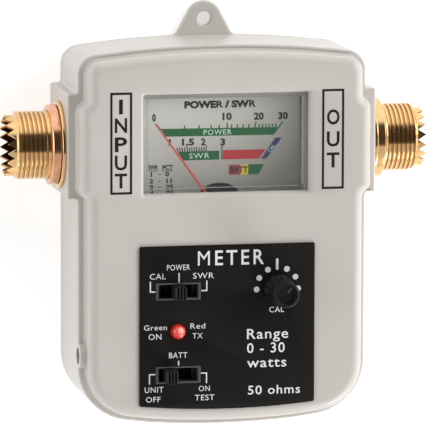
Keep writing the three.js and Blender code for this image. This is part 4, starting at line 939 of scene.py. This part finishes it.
def statusLamp():
    # flange, stem and a dome whose arc all but reaches the axis, turned round z
    shoulder = lamp["bottom"] + lamp["flangeHeight"]
    section = [[0, lamp["bottom"], 0], [lamp["flange"], lamp["bottom"], lamp["flangeRound"]],
               [lamp["flange"], shoulder, lamp["shoulderRound"]], [lamp["radius"], shoulder, 0],
               [lamp["radius"], lamp["top"], lamp["dome"]], [0, lamp["top"], 0]]
    return Patchwork().turned(section, lampPlace, lamp["columns"], lamp["domeSteps"])


piece("status_lamp_lens", statusLamp(), lampRed, replaces=["status_lamp"], smooth=50)

# Jack in the left wall
jack = dict(radius=2.9, nose=1.85, bore=1.25, shoulder=3.2, end=0.8, round=0.2, mouthRound=0.15)


def sideJack():
    # a nose in the wall's hole and a wider barrel behind the wall, with a blind bore, turned round x
    mouth, back = nodeBox("side_jack")[0][0], nodeBox("side_jack")[1][0]
    barrel, bottom = back - jack["shoulder"], back - jack["end"]
    section = [[0, back, 0], [jack["radius"], back, jack["round"]], [jack["radius"], barrel, jack["round"]],
               [jack["nose"], barrel, 0], [jack["nose"], mouth, jack["round"]],
               [jack["bore"], mouth, jack["mouthRound"]], [jack["bore"], bottom, 0], [0, bottom, 0]]
    return turnedOnX(section, jackPlace["y"], jackPlace["z"])


piece("side_jack_turned", sideJack(), controlBlack, replaces=["side_jack"])
print("controls made")

# Meter: clear cover, dial with its print, and the needle
cover = dict(half=(19.3, 11.4), top=-1.3, plate=1.2, wall=0.95, foot=-3.9, round=0.2, hold=0.1, corner=0.35,
             innerCorner=0.2)
dial = dict(pivot=(-0.6, -11.4), notch=6.8, columns=49)
pointer = dict(length=26, tip=0.17, root=0.32, rows=9, ridge=0.1, front=-5.3, thickness=0.3, angle=126.1,
               hub=1.7, hubRound=0.05, hubShare=0.8, bore=0.95, tail=4.5, tailHalf=0.6, tailCorner=0.2,
               tailInset=0.02, tailRound=0.04)


def meterCover():
    # a tray face down: from the underside of its plate down the inner walls, round the foot and up outside
    around = rectangle(meterWell["centre"], cover["half"], cover["corner"])
    innerHalf = [h - cover["wall"] for h in cover["half"]]
    within = rectangle(meterWell["centre"], innerHalf, cover["innerCorner"])
    shoulder, under = cover["top"] - cover["round"], cover["top"] - cover["plate"]
    rows = rings(within, [(cover["hold"], under), (0, under), (0, cover["foot"])])
    rows += rings(around, [(0, cover["foot"])])
    rows += rings(around, [(i, shoulder + h) for i, h in quarter(cover["round"], steps=3)])
    rows += rings(around, [(cover["round"] + cover["hold"], cover["top"])])
    return Patchwork().grid(rows).cap(rows[0]).cap(rows[-1])


def dialPlate():
    # a rectangle whose lower edge has an arc cut out round the pivot
    low, high = nodeBox("dial_plate")
    px, py = dial["pivot"]
    reach = math.acos((low[1] - py) / dial["notch"])
    angle = np.linspace(math.pi / 2 + reach, math.pi / 2 - reach, dial["columns"])
    arc = np.column_stack([px + dial["notch"] * np.cos(angle), py + dial["notch"] * np.sin(angle), 0 * angle])
    corners = [[low[0], low[1], 0], *arc.tolist(), [high[0], low[1], 0], [high[0], high[1], 0],
               [low[0], high[1], 0]]
    return Patchwork().slab(corners, low[2], high[2])


def needleBlade():
    # a blade whose half width falls evenly from root to tip, with a ridge along its middle, a hub and a tail
    start, front, end = pointer["hub"] * pointer["hubShare"], pointer["front"], pointer["tail"]
    back, shoulder = front - pointer["thickness"], front - pointer["ridge"]
    x = np.linspace(start, pointer["length"], pointer["rows"])[:, None]
    half = np.linspace(pointer["root"], pointer["tip"], pointer["rows"])[:, None]
    side, height = np.array([(-1, back), (1, back), (1, shoulder), (0, front), (-1, shoulder)]).T
    rows = np.stack(np.broadcast_arrays(x, half * side, height), 2)
    blade = Patchwork().grid(rows).cap(rows[0]).cap(rows[-1])
    blade.turned([[pointer["bore"], back, 0], [pointer["hub"], back, pointer["hubRound"]],
                  [pointer["hub"], front, pointer["hubRound"]], [pointer["bore"], front, 0]], columns=48)
    tail = rectangle((-(end + start) / 2, 0), ((end - start) / 2, pointer["tailHalf"]),
                     pointer["tailCorner"])
    blade.slab(tail, back + pointer["tailInset"], front - pointer["tailInset"], pointer["tailRound"])
    return blade.spun(pointer["angle"], dial["pivot"])


piece("meter_cover", meterCover(), clear, replaces=["meter_window"])
piece("dial_plate_cut", dialPlate(), dialFace, replaces=["dial_plate"])
piece("needle_blade", needleBlade(), needleRed, "pointer", ["needle"])
print("meter made")

# Threaded sockets: gold body, its nut and washer outside the boss, insulator and centre contact inside
socket = dict(back=32.04, backBore=4.4, backWall=1.0, flange=9.0, flangeFlat=8.3, flangeFront=34.04, neck=7.9,
              threadStart=39.7, threadEnd=46.7, crest=7.9375, depth=0.42, flat=0.4, pitch=1.058, crown=7.06,
              crownBase=47.4, crownTip=49.4, teeth=18, toothRows=((0.03, 0.5), (0.06, 0.97)), wall=0.9,
              mouth=41.6, bore=5.5, columns=180, rowsPerPitch=24)
nut = dict(span=(37.39, 39.39), radius=9.3, bore=8.0, chamfer=0.28, backRound=0.1, frontRound=0.12,
           boreRound=0.15)
washer = dict(span=(36.34, 37.24), radius=10.1, bore=8.0, round=0.25)
insulator = dict(span=(33.34, 41.6), radius=5.4, bore=2.5, round=0.2)
contact = dict(back=26, tail=1.35, tailRound=0.3, front=30.4, radius=2.4, edge=0.1, tip=41.9, tipRound=0.15,
               bore=2.0, boreBack=31.9)


def threadGoldPaintedShade():
    # gold plating with painted shade, by the distance from the socket's axis: darker towards the foot of a
    # groove, and darkest inside the toothed mouth
    net, s, finish = Net("threadGoldPaintedShade"), socket, goldFinish
    axis = toFrame((0, socketY, socketZ))
    x, y, z = net.axes()
    upright, forwards = y - float(axis[1]), z - float(axis[2])
    radius = net.maths("SQRT", upright * upright + forwards * forwards) / mm
    onThread = net.maths("LESS_THAN", abs(x), s["threadEnd"] * mm)
    groove = net.maths("MULTIPLY", s["crest"] - radius, 1 / (s["depth"] * finish["grooveShare"]), clamp=True)
    inside = net.maths("LESS_THAN", radius, s["crown"] - s["wall"] / 2)
    bright = drifting(net, finish["deep"], finish["pale"])
    shaded = net.blend(groove * onThread, bright, tone(finish["groove"]))
    return polished(net, net.blend(inside, shaded, tone(finish["inside"])), finish["least"])


def smoothStep(share):
    # three squares less two cubes of a share that is held between 0 and 1
    share = np.clip(share, 0, 1)
    return share * share * (3 - 2 * share)


def socketBody(side):
    # reach and radius on rows along the axis and columns round it. The flange has one flat; the thread is a
    # flat-topped wave whose rows climb by a pitch each turn, cut by a cone at its end; the crown is a
    # triangle wave at the tip
    s = socket
    turn = np.arange(s["columns"] + 1) / s["columns"]
    angle = 2 * math.pi * turn
    flange = s["flangeFlat"] / np.maximum(np.sin(angle), s["flangeFlat"] / s["flange"])
    before = s["threadStart"] - s["pitch"] / 2
    count = math.ceil((s["crownBase"] + s["pitch"] / 2 - before) / s["pitch"] * s["rowsPerPitch"]) + 1
    wave = np.arange(count)[:, None] / s["rowsPerPitch"]
    reach = np.clip(before + s["pitch"] * (wave + side * (turn - 0.5)), s["threadStart"], s["crownBase"])
    valley = smoothStep((np.abs(2 * np.mod(wave, 1) - 1) - s["flat"]) / (1 - 2 * s["flat"]))
    valley = valley * smoothStep((reach - s["threadStart"]) / s["pitch"])
    slope = (s["crest"] - s["crown"]) / (s["crownBase"] - s["threadEnd"])
    thread = np.minimum(s["crest"] - s["depth"] * valley, s["crown"] + (s["crownBase"] - reach) * slope)
    tooth = (s["crownTip"] - s["crownBase"]) * np.abs(2 * np.mod(s["teeth"] * turn, 1) - 1)
    low, high = (s["crownBase"] + rise + tooth * share for rise, share in s["toothRows"])
    inside, bottom = s["crown"] - s["wall"], s["back"] + s["backWall"]
    rows = [(s["back"], s["backBore"]), (s["back"], flange), (s["flangeFront"], flange),
            (s["flangeFront"], s["neck"])]
    rows += list(zip(reach, thread))
    rows += [(s["crownBase"], s["crown"]), (low, s["crown"]), (high, s["crown"]), (high, inside),
             (s["mouth"], inside), (s["mouth"], s["bore"]), (bottom, s["bore"]), (bottom, s["backBore"])]
    x, radius = (np.stack([np.broadcast_to(row[part], angle.shape) for row in rows]) for part in (0, 1))
    points = np.stack([side * x, socketY + radius * np.cos(angle), socketZ + radius * np.sin(angle)], 2)
    return Patchwork().grid(points, closedRows=True, closedColumns=False)


def ringSection(part):
    # a rectangle of radius and reach with three of its corners rounded
    low, high = part["span"]
    return [[part["bore"], low, 0], [part["radius"], low, part["round"]],
            [part["radius"], high, part["round"]], [part["bore"], high, part["round"]]]


def nutSection():
    # a rectangle of radius and reach with its front outer corner cut off
    low, high = nut["span"]
    cut = nut["radius"] - nut["chamfer"]
    return [[nut["bore"], low, 0], [nut["radius"], low, nut["backRound"]],
            [nut["radius"], high - nut["chamfer"], nut["frontRound"]], [cut, high, nut["frontRound"]],
            [nut["bore"], high, nut["boreRound"]]]


def contactSection():
    # a thin tail behind a wider cup with a blind bore
    c = contact
    return [[0, c["back"], 0], [c["tail"], c["back"], c["tailRound"]], [c["tail"], c["front"], 0],
            [c["radius"], c["front"], c["edge"]], [c["radius"], c["tip"], c["tipRound"]],
            [c["bore"], c["tip"], c["edge"]], [c["bore"], c["boreBack"], 0], [0, c["boreBack"], 0]]


goldThreadPaintedShade = threadGoldPaintedShade()
for side, name, nutGold in ((-1, "radio", goldPink), (1, "antenna", goldPlate)):
    body = name + "_socket_"
    piece(body + "threaded", socketBody(side), goldThreadPaintedShade, replaces=[body + "body"], smooth=40)
    for kind, section, columns, material, slot, node in (
            ("ring_nut", nutSection(), 96, nutGold, "gold", "nut"),
            ("ring_washer", ringSection(washer), 96, goldPlate, "gold", "washer"),
            ("white_core", ringSection(insulator), 64, socketWhite, "insulator", "insulator"),
            ("pin_cup", contactSection(), 48, goldPlate, "gold", "contact")):
        shape = turnedOnX(section, socketY, socketZ, columns, side)
        piece(body + kind, shape, material, replaces=[body + node])
print("sockets made")


# Print: lettering from the built-in font, and lines, bars and dots as thin closed slabs
letterPrint = dict(resolution=3, stretch=(0.72, 1.35), slivers=1e-8, roundShare=0.98)


def fontMesh(text, weight=0.0, spacing=1.0):
    # the font's outline of a text, one unit high and one thick
    curve = bpy.data.curves.new("letters", "FONT")
    curve.body, curve.size, curve.extrude = text, 1.0, 0.5
    curve.offset, curve.resolution_u, curve.space_character = weight, letterPrint["resolution"], spacing
    holder = newObject("letters", curve)
    mesh = bpy.data.meshes.new_from_object(holder.evaluated_get(bpy.context.evaluated_depsgraph_get()))
    bpy.data.objects.remove(holder)
    return mesh


def meshSpan(mesh):
    # lowest and highest corner of a mesh's vertices
    points = np.empty(len(mesh.vertices) * 3)
    mesh.vertices.foreach_get("co", points)
    points = points.reshape(-1, 3)
    return points.min(0), points.max(0)


capitalLow, capitalHigh = meshSpan(fontMesh("H"))


def lettering(name, groups, low, rise, material, body="case"):
    # a group has a stroke weight, a letter spacing, a turn in degrees and its words; each word is stretched
    # into its box of left, right, baseline and capital height, and all become one piece. M, B and R fold
    # over themselves when they are made heavy, so words that have them are lighter or set in parts
    work = bmesh.new()
    for weight, spacing, turn, words in groups:
        for text, left, right, base, top in words:
            mesh = fontMesh(text, weight, spacing)
            near, far = meshSpan(mesh)
            tall = (top - base) / (capitalHigh[1] - capitalLow[1])
            wide = np.clip((right - left) / (far[0] - near[0]), *[tall * s for s in letterPrint["stretch"]])
            middle = Vector(((near[0] + far[0]) / 2, (capitalLow[1] + capitalHigh[1]) / 2, 0))
            place = Vector(toFrame([(left + right) / 2, (base + top) / 2, low + rise / 2]))
            scale = Matrix.Diagonal((wide * mm, tall * mm, rise * mm, 1))
            mesh.transform(Matrix.Translation(place) @ Matrix.Rotation(math.radians(turn), 4, "Z") @ scale
                           @ Matrix.Translation(-middle))
            work.from_mesh(mesh)
            bpy.data.meshes.remove(mesh)
    joined = bpy.data.meshes.new(name)
    work.to_mesh(joined)
    work.free()
    tidy(joined, slivers=letterPrint["slivers"])
    return piece(name, newObject(name, joined), material, body)


def stroke(path, half, rounded=False):
    # both sides of a path at half the width, mitred at its corners; round ends where asked
    path = np.array(path, float)
    along = np.diff(path, axis=0)
    along /= np.linalg.norm(along, axis=1, keepdims=True)
    across = np.stack([-along[:, 1], along[:, 0]], 1)
    before, after = np.vstack([across[:1], across]), np.vstack([across, across[-1:]])
    mitre = (before + after) * half / (1 + (before * after).sum(1, keepdims=True))
    ends = np.zeros(len(path))
    ends[[0, -1]] = half * letterPrint["roundShare"] if rounded else 0
    right = np.column_stack([path - mitre, ends])
    left = np.column_stack([path + mitre, ends])
    return np.concatenate([right, left[::-1]])


def slabs(shapes, low, rise):
    # shapes are outlines, or an outline with its hole
    patches = Patchwork()
    for shape in shapes:
        outer, holes = (shape[0], [shape[1]]) if isinstance(shape, tuple) else (shape, [])
        patches.slab(outer, low, low + rise, holes=holes, arcSteps=6)
    return patches


def polygon(*places):
    # places in either order, as anticlockwise corners without rounds
    corners = np.column_stack([np.array(places, float), np.zeros(len(places))])
    following = np.roll(corners, -1, 0)
    area = (corners[:, 0] * following[:, 1] - following[:, 0] * corners[:, 1]).sum()
    return corners if area > 0 else corners[::-1]


def rectangleFrame(x0, x1, y0, y1, line):
    # a rectangle and the same one smaller by a line's width, as an outline and its hole
    centre, half = ((x0 + x1) / 2, (y0 + y1) / 2), ((x1 - x0) / 2, (y1 - y0) / 2)
    return rectangle(centre, half), rectangle(centre, [h - line for h in half])


panelMarks = dict(
    low=0.38, rise=0.05, line=0.14, boldLine=0.3, dot=0.68, dotSides=28,
    groups=[(0.0, 1.0, 0, [("M", -6.95, -4.15, -22.8, -19.45)]),
            (0.012, 1.3, 0, [("ETER", -2.9, 8.6, -22.8, -19.45)]),
            (0.0, 1.1, 0, [
                ("POWER", -14.2, -8.8, -23.75, -22.45), ("CAL", -18.2, -14.5, -25.75, -24.45),
                ("SWR", -8.1, -3.2, -25.8, -24.5), ("CAL", 9.9, 13.4, -34.2, -32.95),
                ("Green", -19.6, -14.2, -37.6, -36.4), ("ON", -18.5, -15.5, -39.8, -38.5),
                ("Red", -8.7, -5.2, -37.5, -36.25), ("TX", -8.2, -5.8, -39.8, -38.55),
                ("BATT", -13.7, -9.4, -44.25, -42.95), ("UNIT", -19.4, -15.0, -52.2, -50.9),
                ("OFF", -19.1, -15.7, -54.45, -53.2), ("ON", -6.7, -4.1, -52.2, -50.95),
                ("TEST", -7.6, -3.0, -54.35, -53.05)]),
            (0.008, 1.12, 0, [
                ("Range", 4.65, 14.4, -40.3, -38.0), ("0 - 30", 4.66, 13.6, -43.6, -41.35),
                ("watts", 4.68, 14.0, -47.0, -44.75), ("50 ohms", 4.93, 17.27, -53.35, -51.35)])],
    lines=[[(-11.37, -24.39), (-11.36, -26.55)], [(-18.09, -26.25), (-18.09, -28.66), (-16.9, -28.66)],
           [(-4.86, -26.3), (-4.86, -28.65), (-6.1, -28.65)], [(-11.45, -44.9), (-11.45, -46.0)],
           [(-16.9, -47.96), (-18.28, -47.96), (-18.28, -50.25)],
           [(-6.2, -47.96), (-4.88, -47.96), (-4.88, -50.35)]],
    dots=[(6.9, -28.77), (7.51, -26.1), (9.53, -24.22), (14.02, -24.16), (16.04, -26.04), (16.7, -28.78)],
    pointer=[(11.72, -21.6), (11.73, -24.35)])
faceMarks = dict(
    low=-0.01, rise=0.04, line=0.52, frames=[(-27.36, -22.27, -5.88, 17.63), (22.26, 27.47, -5.79, 17.45)],
    groups=[(0.02, 1, 0, [(letter, -26.3, -23.45, base, base + 3.2)
                          for letter, base in zip("INPUT", (12.75, 8.45, 4.05, -0.15, -4.35))] +
                         [(letter, 23.4, 26.4, base, base + 3.3)
                          for letter, base in zip("OUT", (9.3, 4.2, -0.7))])])

marks = panelMarks
lettering("panel_lettering", marks["groups"], marks["low"], marks["rise"], markWhite)
whiteLines = [stroke(path, marks["line"]) for path in marks["lines"]]
piece("panel_lines", slabs(whiteLines, marks["low"], marks["rise"]), markWhite)
dots = [disc(place, marks["dot"], marks["dotSides"]) for place in marks["dots"]]
dots.append(stroke(marks["pointer"], marks["boldLine"], rounded=True))
piece("panel_dots", slabs(dots, marks["low"], marks["rise"]), dotWhite)
marks = faceMarks
lettering("socket_labels", marks["groups"], marks["low"], marks["rise"], labelInk)
piece("socket_label_frames", slabs([rectangleFrame(*edges, marks["line"]) for edges in marks["frames"]],
                                   marks["low"], marks["rise"]), labelInk)

tableRows, rowHalf = (-2.3, -3.9, -5.3, -6.6), 0.47
tickLow = 8.1
dialMarks = dict(
    low=-7.02, bars=0.04, words=0.06, tick=0.16, fineTick=0.12, dash=0.08,
    green=[((-14.46, 8.22), (13.63, 8.05), (12.29, 6.28), (-13.17, 6.38)),
           ((-10.34, 2.8), (-0.59, 2.87), (-0.58, 0.79), (-9.26, 0.77))],
    red=[((0.25, 2.94), (10.33, 2.94), (8.78, 0.78), (0.25, 0.77))],
    blue=[((12.62, 5.57), (14.19, 5.61), (10.6, 0.74), (9.25, 0.72))],
    battery=dict(top=-0.5, bottom=-2.85, x=(1.64, 4.43, 6.25, 10.06, 8.65)),
    powerTicks=[(x, tickLow, x - 0.02 * (x < 0), 8.9)
                for x in (-8.73, -5.34, -2.51, -0.6, 2.3, 3.65, 5.0, 6.4)] +
               [(x, tickLow, x + 0.12, 8.85) for x in (8.75, 9.55, 10.35, 11.15, 11.95, 12.7)] +
               [(1.28, tickLow, 1.3, 9.33), (7.78, tickLow, 8.1, 9.41), (13.37, 7.92, 14.45, 9.36),
                (-14.48, tickLow, -15.6, 9.48)],
    ratioTicks=[(x, 2.8, x - 0.3 + 0.03 * i, 3.8 + 0.35 * (i in (4, 12)))
                for i, x in enumerate(np.linspace(-10.3, -3.7, 13))] + [(0.03, 0.78, 0.03, 4.0)],
    black=[(0.06, 1.0, 0, [("POWE", -8.85, -1.33, 12.95, 14.4), ("/ SW", 0.7, 6.46, 12.95, 14.4)]),
           (0.036, 1.0, 0, [("R", -1.3, 0.34, 12.95, 14.4), ("R", 6.43, 8.07, 12.95, 14.4)]),
           (0.025, 1.02, 0, [("BATT", 2.1, 6.1, -2.35, -1.0)]),
           (0.045, 1.02, 0, [
               ("0", -16.4, -15.5, 10.1, 11.6), ("10", 0.15, 2.35, 10.05, 11.55),
               ("20", 7.55, 9.9, 9.95, 11.45), ("30", 13.3, 15.6, 9.95, 11.45),
               ("1", -12.6, -11.9, 4.4, 5.75), ("1.5", -9.4, -6.5, 4.3, 5.75), ("2", -4.9, -3.8, 4.25, 5.7),
               ("3", -0.35, 0.8, 4.15, 5.6)]),
           (0.036, 1.0, 0, [("SWR", -17.1, -15.15, -1.2, -0.2), ("PCT", -14.0, -11.5, -1.25, -0.25)]),
           (0.045, 1.0, 0,
            [(mark, -17.0, -16.1, y - rowHalf, y + rowHalf) for mark, y in zip("1234", tableRows)] +
            [(mark, -13.3, right, y - rowHalf, y + rowHalf)
             for mark, right, y in zip(("0", "11", "25", "36"), (-12.4, -11.5, -11.3, -11.3), tableRows)])],
    dashes=[((-15.0, y), (-14.3, y)) for y in tableRows] +
           [((-17.1, -1.5), (-15.15, -1.5)), ((-14.0, -1.55), (-11.5, -1.55))],
    pale=[(0.004, 1.15, 0, [("POWER", -4.3, 2.3, 6.6, 7.8), ("SWR", -7.7, -2.9, 1.2, 2.4)]),
          (0.004, 1.0, 54, [("CAL", 10.75, 12.75, 2.75, 3.55)])])

marks = dialMarks
low, bars, words = marks["low"], marks["bars"], marks["words"]
for kind, ink in (("green", scaleGreen), ("red", scaleRed), ("blue", scaleBlue)):
    piece("dial_" + kind, slabs([polygon(*places) for places in marks[kind]], low, bars), ink)
first, second, third, last, foot = marks["battery"]["x"]
top, bottom = marks["battery"]["top"], marks["battery"]["bottom"]
for kind, ink, upper, lower in (("low", batteryRed, (first, second), (first, second)),
                                ("middle", scaleYellow, (second, third), (second, third)),
                                ("full", scaleGreen, (third, last), (third, foot))):
    places = [(upper[0], top), (upper[1], top), (lower[1], bottom), (lower[0], bottom)]
    piece("dial_battery_" + kind, slabs([polygon(*places)], low, bars), ink)
powerLines = [stroke([tick[:2], tick[2:]], marks["tick"]) for tick in marks["powerTicks"]]
piece("dial_power_ticks", slabs(powerLines, low, words), scaleGreen)
darkLines = [stroke([tick[:2], tick[2:]], marks["fineTick"]) for tick in marks["ratioTicks"]]
darkLines += [stroke(path, marks["dash"]) for path in marks["dashes"]]
piece("dial_ratio_ticks", slabs(darkLines, low, words), scaleBlack)
lettering("dial_numbers", marks["black"], low, words, scaleBlack)
lettering("dial_bar_words", marks["pale"], low, words, scalePale)
print("print made")


# Pieces inside: the CAD shapes with their own finishes
insideFinishes = [
    (jacket, ["battery"]), (board, ["circuit_board", "coupler_board"]), (moulding, ["meter_case"]),
    (blackSheath, ["battery_snap", "battery_lead_minus", "meter_lead_minus", "sense_lead_reflected"]),
    (redSheath, ["battery_lead_plus", "meter_lead_plus", "sense_lead_forward"]),
    (blackSteel, ["meter_yoke"]), (ferrite, ["meter_core"]),
    (copperWire, ["moving_coil", "hairspring", "through_line"]),
    (nickelPlate, ["bearing_bridge", "set_pot_body"]),
    (switchShell, ["mode_switch_body", "power_switch_body"]),
    (zincSteel, ["pivot_staff", "set_pot_shaft", "meter_screw_1", "meter_screw_2", "coupler_screw_1",
                 "coupler_screw_2", *["board_screw_%d" % number for number in (1, 2, 3, 4)]])]
for material, names in insideFinishes:
    for name in names:
        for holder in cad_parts[name].material_slots:
            holder.material = material
print("inside finished")

# Studio: pale floor, soft light from the upper right, and a white room with a dark strip above the object,
# along x, so that turned metal shows a dark band between its bright ones. The strip's pairs, upwards and
# belowFrom say where a change starts and ends, as parts of a direction; the tilt is along x and y.
studio = dict(floorSize=3.0, floorGap=0.0001, floorGlow=0.5, floorTone=0.9,
              lamps=[("key_lamp", (1.05, 0.6, 0.62), 0.9, 8.2), ("right_lamp", (1.05, -0.25, 0.3), 0.5, 0.8),
                     ("low_lamp", (0.7, -1.0, 0.42), 0.6, 7.4), ("left_lamp", (-0.98, 0.15, 0.3), 0.7, 2.2),
                     ("top_lamp", (0.1, 1.0, 0.34), 0.8, 0.5)],
              stripLow=(-0.36, -0.28), stripHigh=(0.66, 0.76), stripEnd=(0.5, 0.72), stripFoot=(0.0, 0.2),
              stripLevel=0.06, horizon=1.2, zenith=0.88, upwards=(0.15, 0.8), tilt=(0.14, -0.08), below=0.24,
              belowFrom=(0.3, 0.45))
white, black = (1, 1, 1, 1), (0, 0, 0, 1)


def studioPaper():
    # rays of the camera, of gloss and of glass see the paper brighter than it is lit
    net = Net("studioPaper")
    paper = net.node("BsdfDiffuse", None, {"Color": (studio["floorTone"],) * 3 + (1,)})
    camera, glossy, through = (net.node("LightPath", output="Is %s Ray" % kind)
                               for kind in ("Camera", "Glossy", "Transmission"))
    seen = net.maths("MAXIMUM", net.maths("MAXIMUM", camera, glossy), through)
    glow = net.node("Emission", None, {"Color": net.blend(seen, black, white),
                                       "Strength": studio["floorGlow"]})
    return net.close(net.node("AddShader", None, {0: paper, 1: glow}))


half = studio["floorSize"] / 2
floorMesh = bpy.data.meshes.new("studio_floor")
floorMesh.from_pydata([(x, y, 0) for x, y, _ in rectangle((0, 0), (half, half))], [], [(0, 1, 2, 3)])
floor = newObject("studio_floor", floorMesh)
floor.location.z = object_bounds()[0][2] - studio["floorGap"]
floorMesh.materials.append(studioPaper())


def softLamp(name, place, size, power):
    # a round soft lamp that looks at the origin
    data = bpy.data.lights.new(name, "AREA")
    data.shape, data.size, data.energy = "DISK", size, power
    made = newObject(name, data)
    made.location = place
    made.rotation_euler = (-Vector(place)).to_track_quat("-Z", "Y").to_euler()


for lampValues in studio["lamps"]:
    softLamp(*lampValues)


def studioRoom():
    # brightness by direction: a wall that changes from horizon to zenith, tilted, and darker low in front,
    # with a dark strip above; the camera and rays through glass see plain white
    room = Net("studioRoom", world=True)
    x, y, z = room.axes("Generated")
    across = room.rising(y, studio["stripLow"]) * (1 - room.rising(y, studio["stripHigh"]))
    middle = 1 - room.rising(abs(x), studio["stripEnd"])
    strip = across * middle * room.rising(z, studio["stripFoot"])
    wall = studio["horizon"] + (studio["zenith"] - studio["horizon"]) * room.rising(z, studio["upwards"])
    shade = 1 - room.rising(0 - y, studio["belowFrom"]) * middle * studio["below"]
    bright = (wall + x * studio["tilt"][0] + y * studio["tilt"][1]) * shade
    lit = bright + (studio["stripLevel"] - bright) * strip
    behind = room.maths("MAXIMUM", *(room.node("LightPath", output="Is %s Ray" % kind)
                                     for kind in ("Camera", "Transmission")))
    return room.close(room.node("Background", None, {"Color": white, "Strength": lit + (1 - lit) * behind}))


scene.world = studioRoom()

# Camera, in drawing millimetres: where it stands and how it is turned, from the fit to the photograph
shot = dict(azimuth=-11.413, elevation=8.246, roll=0.147, distance=1124.606, focal=4888.861, width=430,
            shift=(2.857, 10.564), sensor=36, clip=(0.01, 20))


def photographCamera():
    # it looks back along the direction of its azimuth and elevation, is turned by its roll, and is then moved
    # left and down by its shift; the focal length is given in pixels of the photograph's width
    az, el, roll = (math.radians(shot[key]) for key in ("azimuth", "elevation", "roll"))
    back = Vector((math.sin(az) * math.cos(el), math.sin(el), math.cos(az) * math.cos(el)))
    right = Vector((math.cos(az), 0, -math.sin(az)))
    up = back.cross(right)
    right, up = math.cos(roll) * right + math.sin(roll) * up, math.cos(roll) * up - math.sin(roll) * right
    place = shot["distance"] * back - shot["shift"][0] * right - shot["shift"][1] * up
    data = bpy.data.cameras.new("photograph_view")
    data.sensor_fit, data.sensor_width = "HORIZONTAL", shot["sensor"]
    data.lens = shot["focal"] / shot["width"] * shot["sensor"]
    data.clip_start, data.clip_end = shot["clip"]
    made = newObject("photograph_view", data)
    columns = [right, up, back, Vector(toFrame(place))]
    made.matrix_world = Matrix([[column[row] for column in columns] for row in range(3)] + [[0, 0, 0, 1]])
    return made


scene.camera = photographCamera()
scene.view_settings.view_transform = "Standard"
print("studio ready")
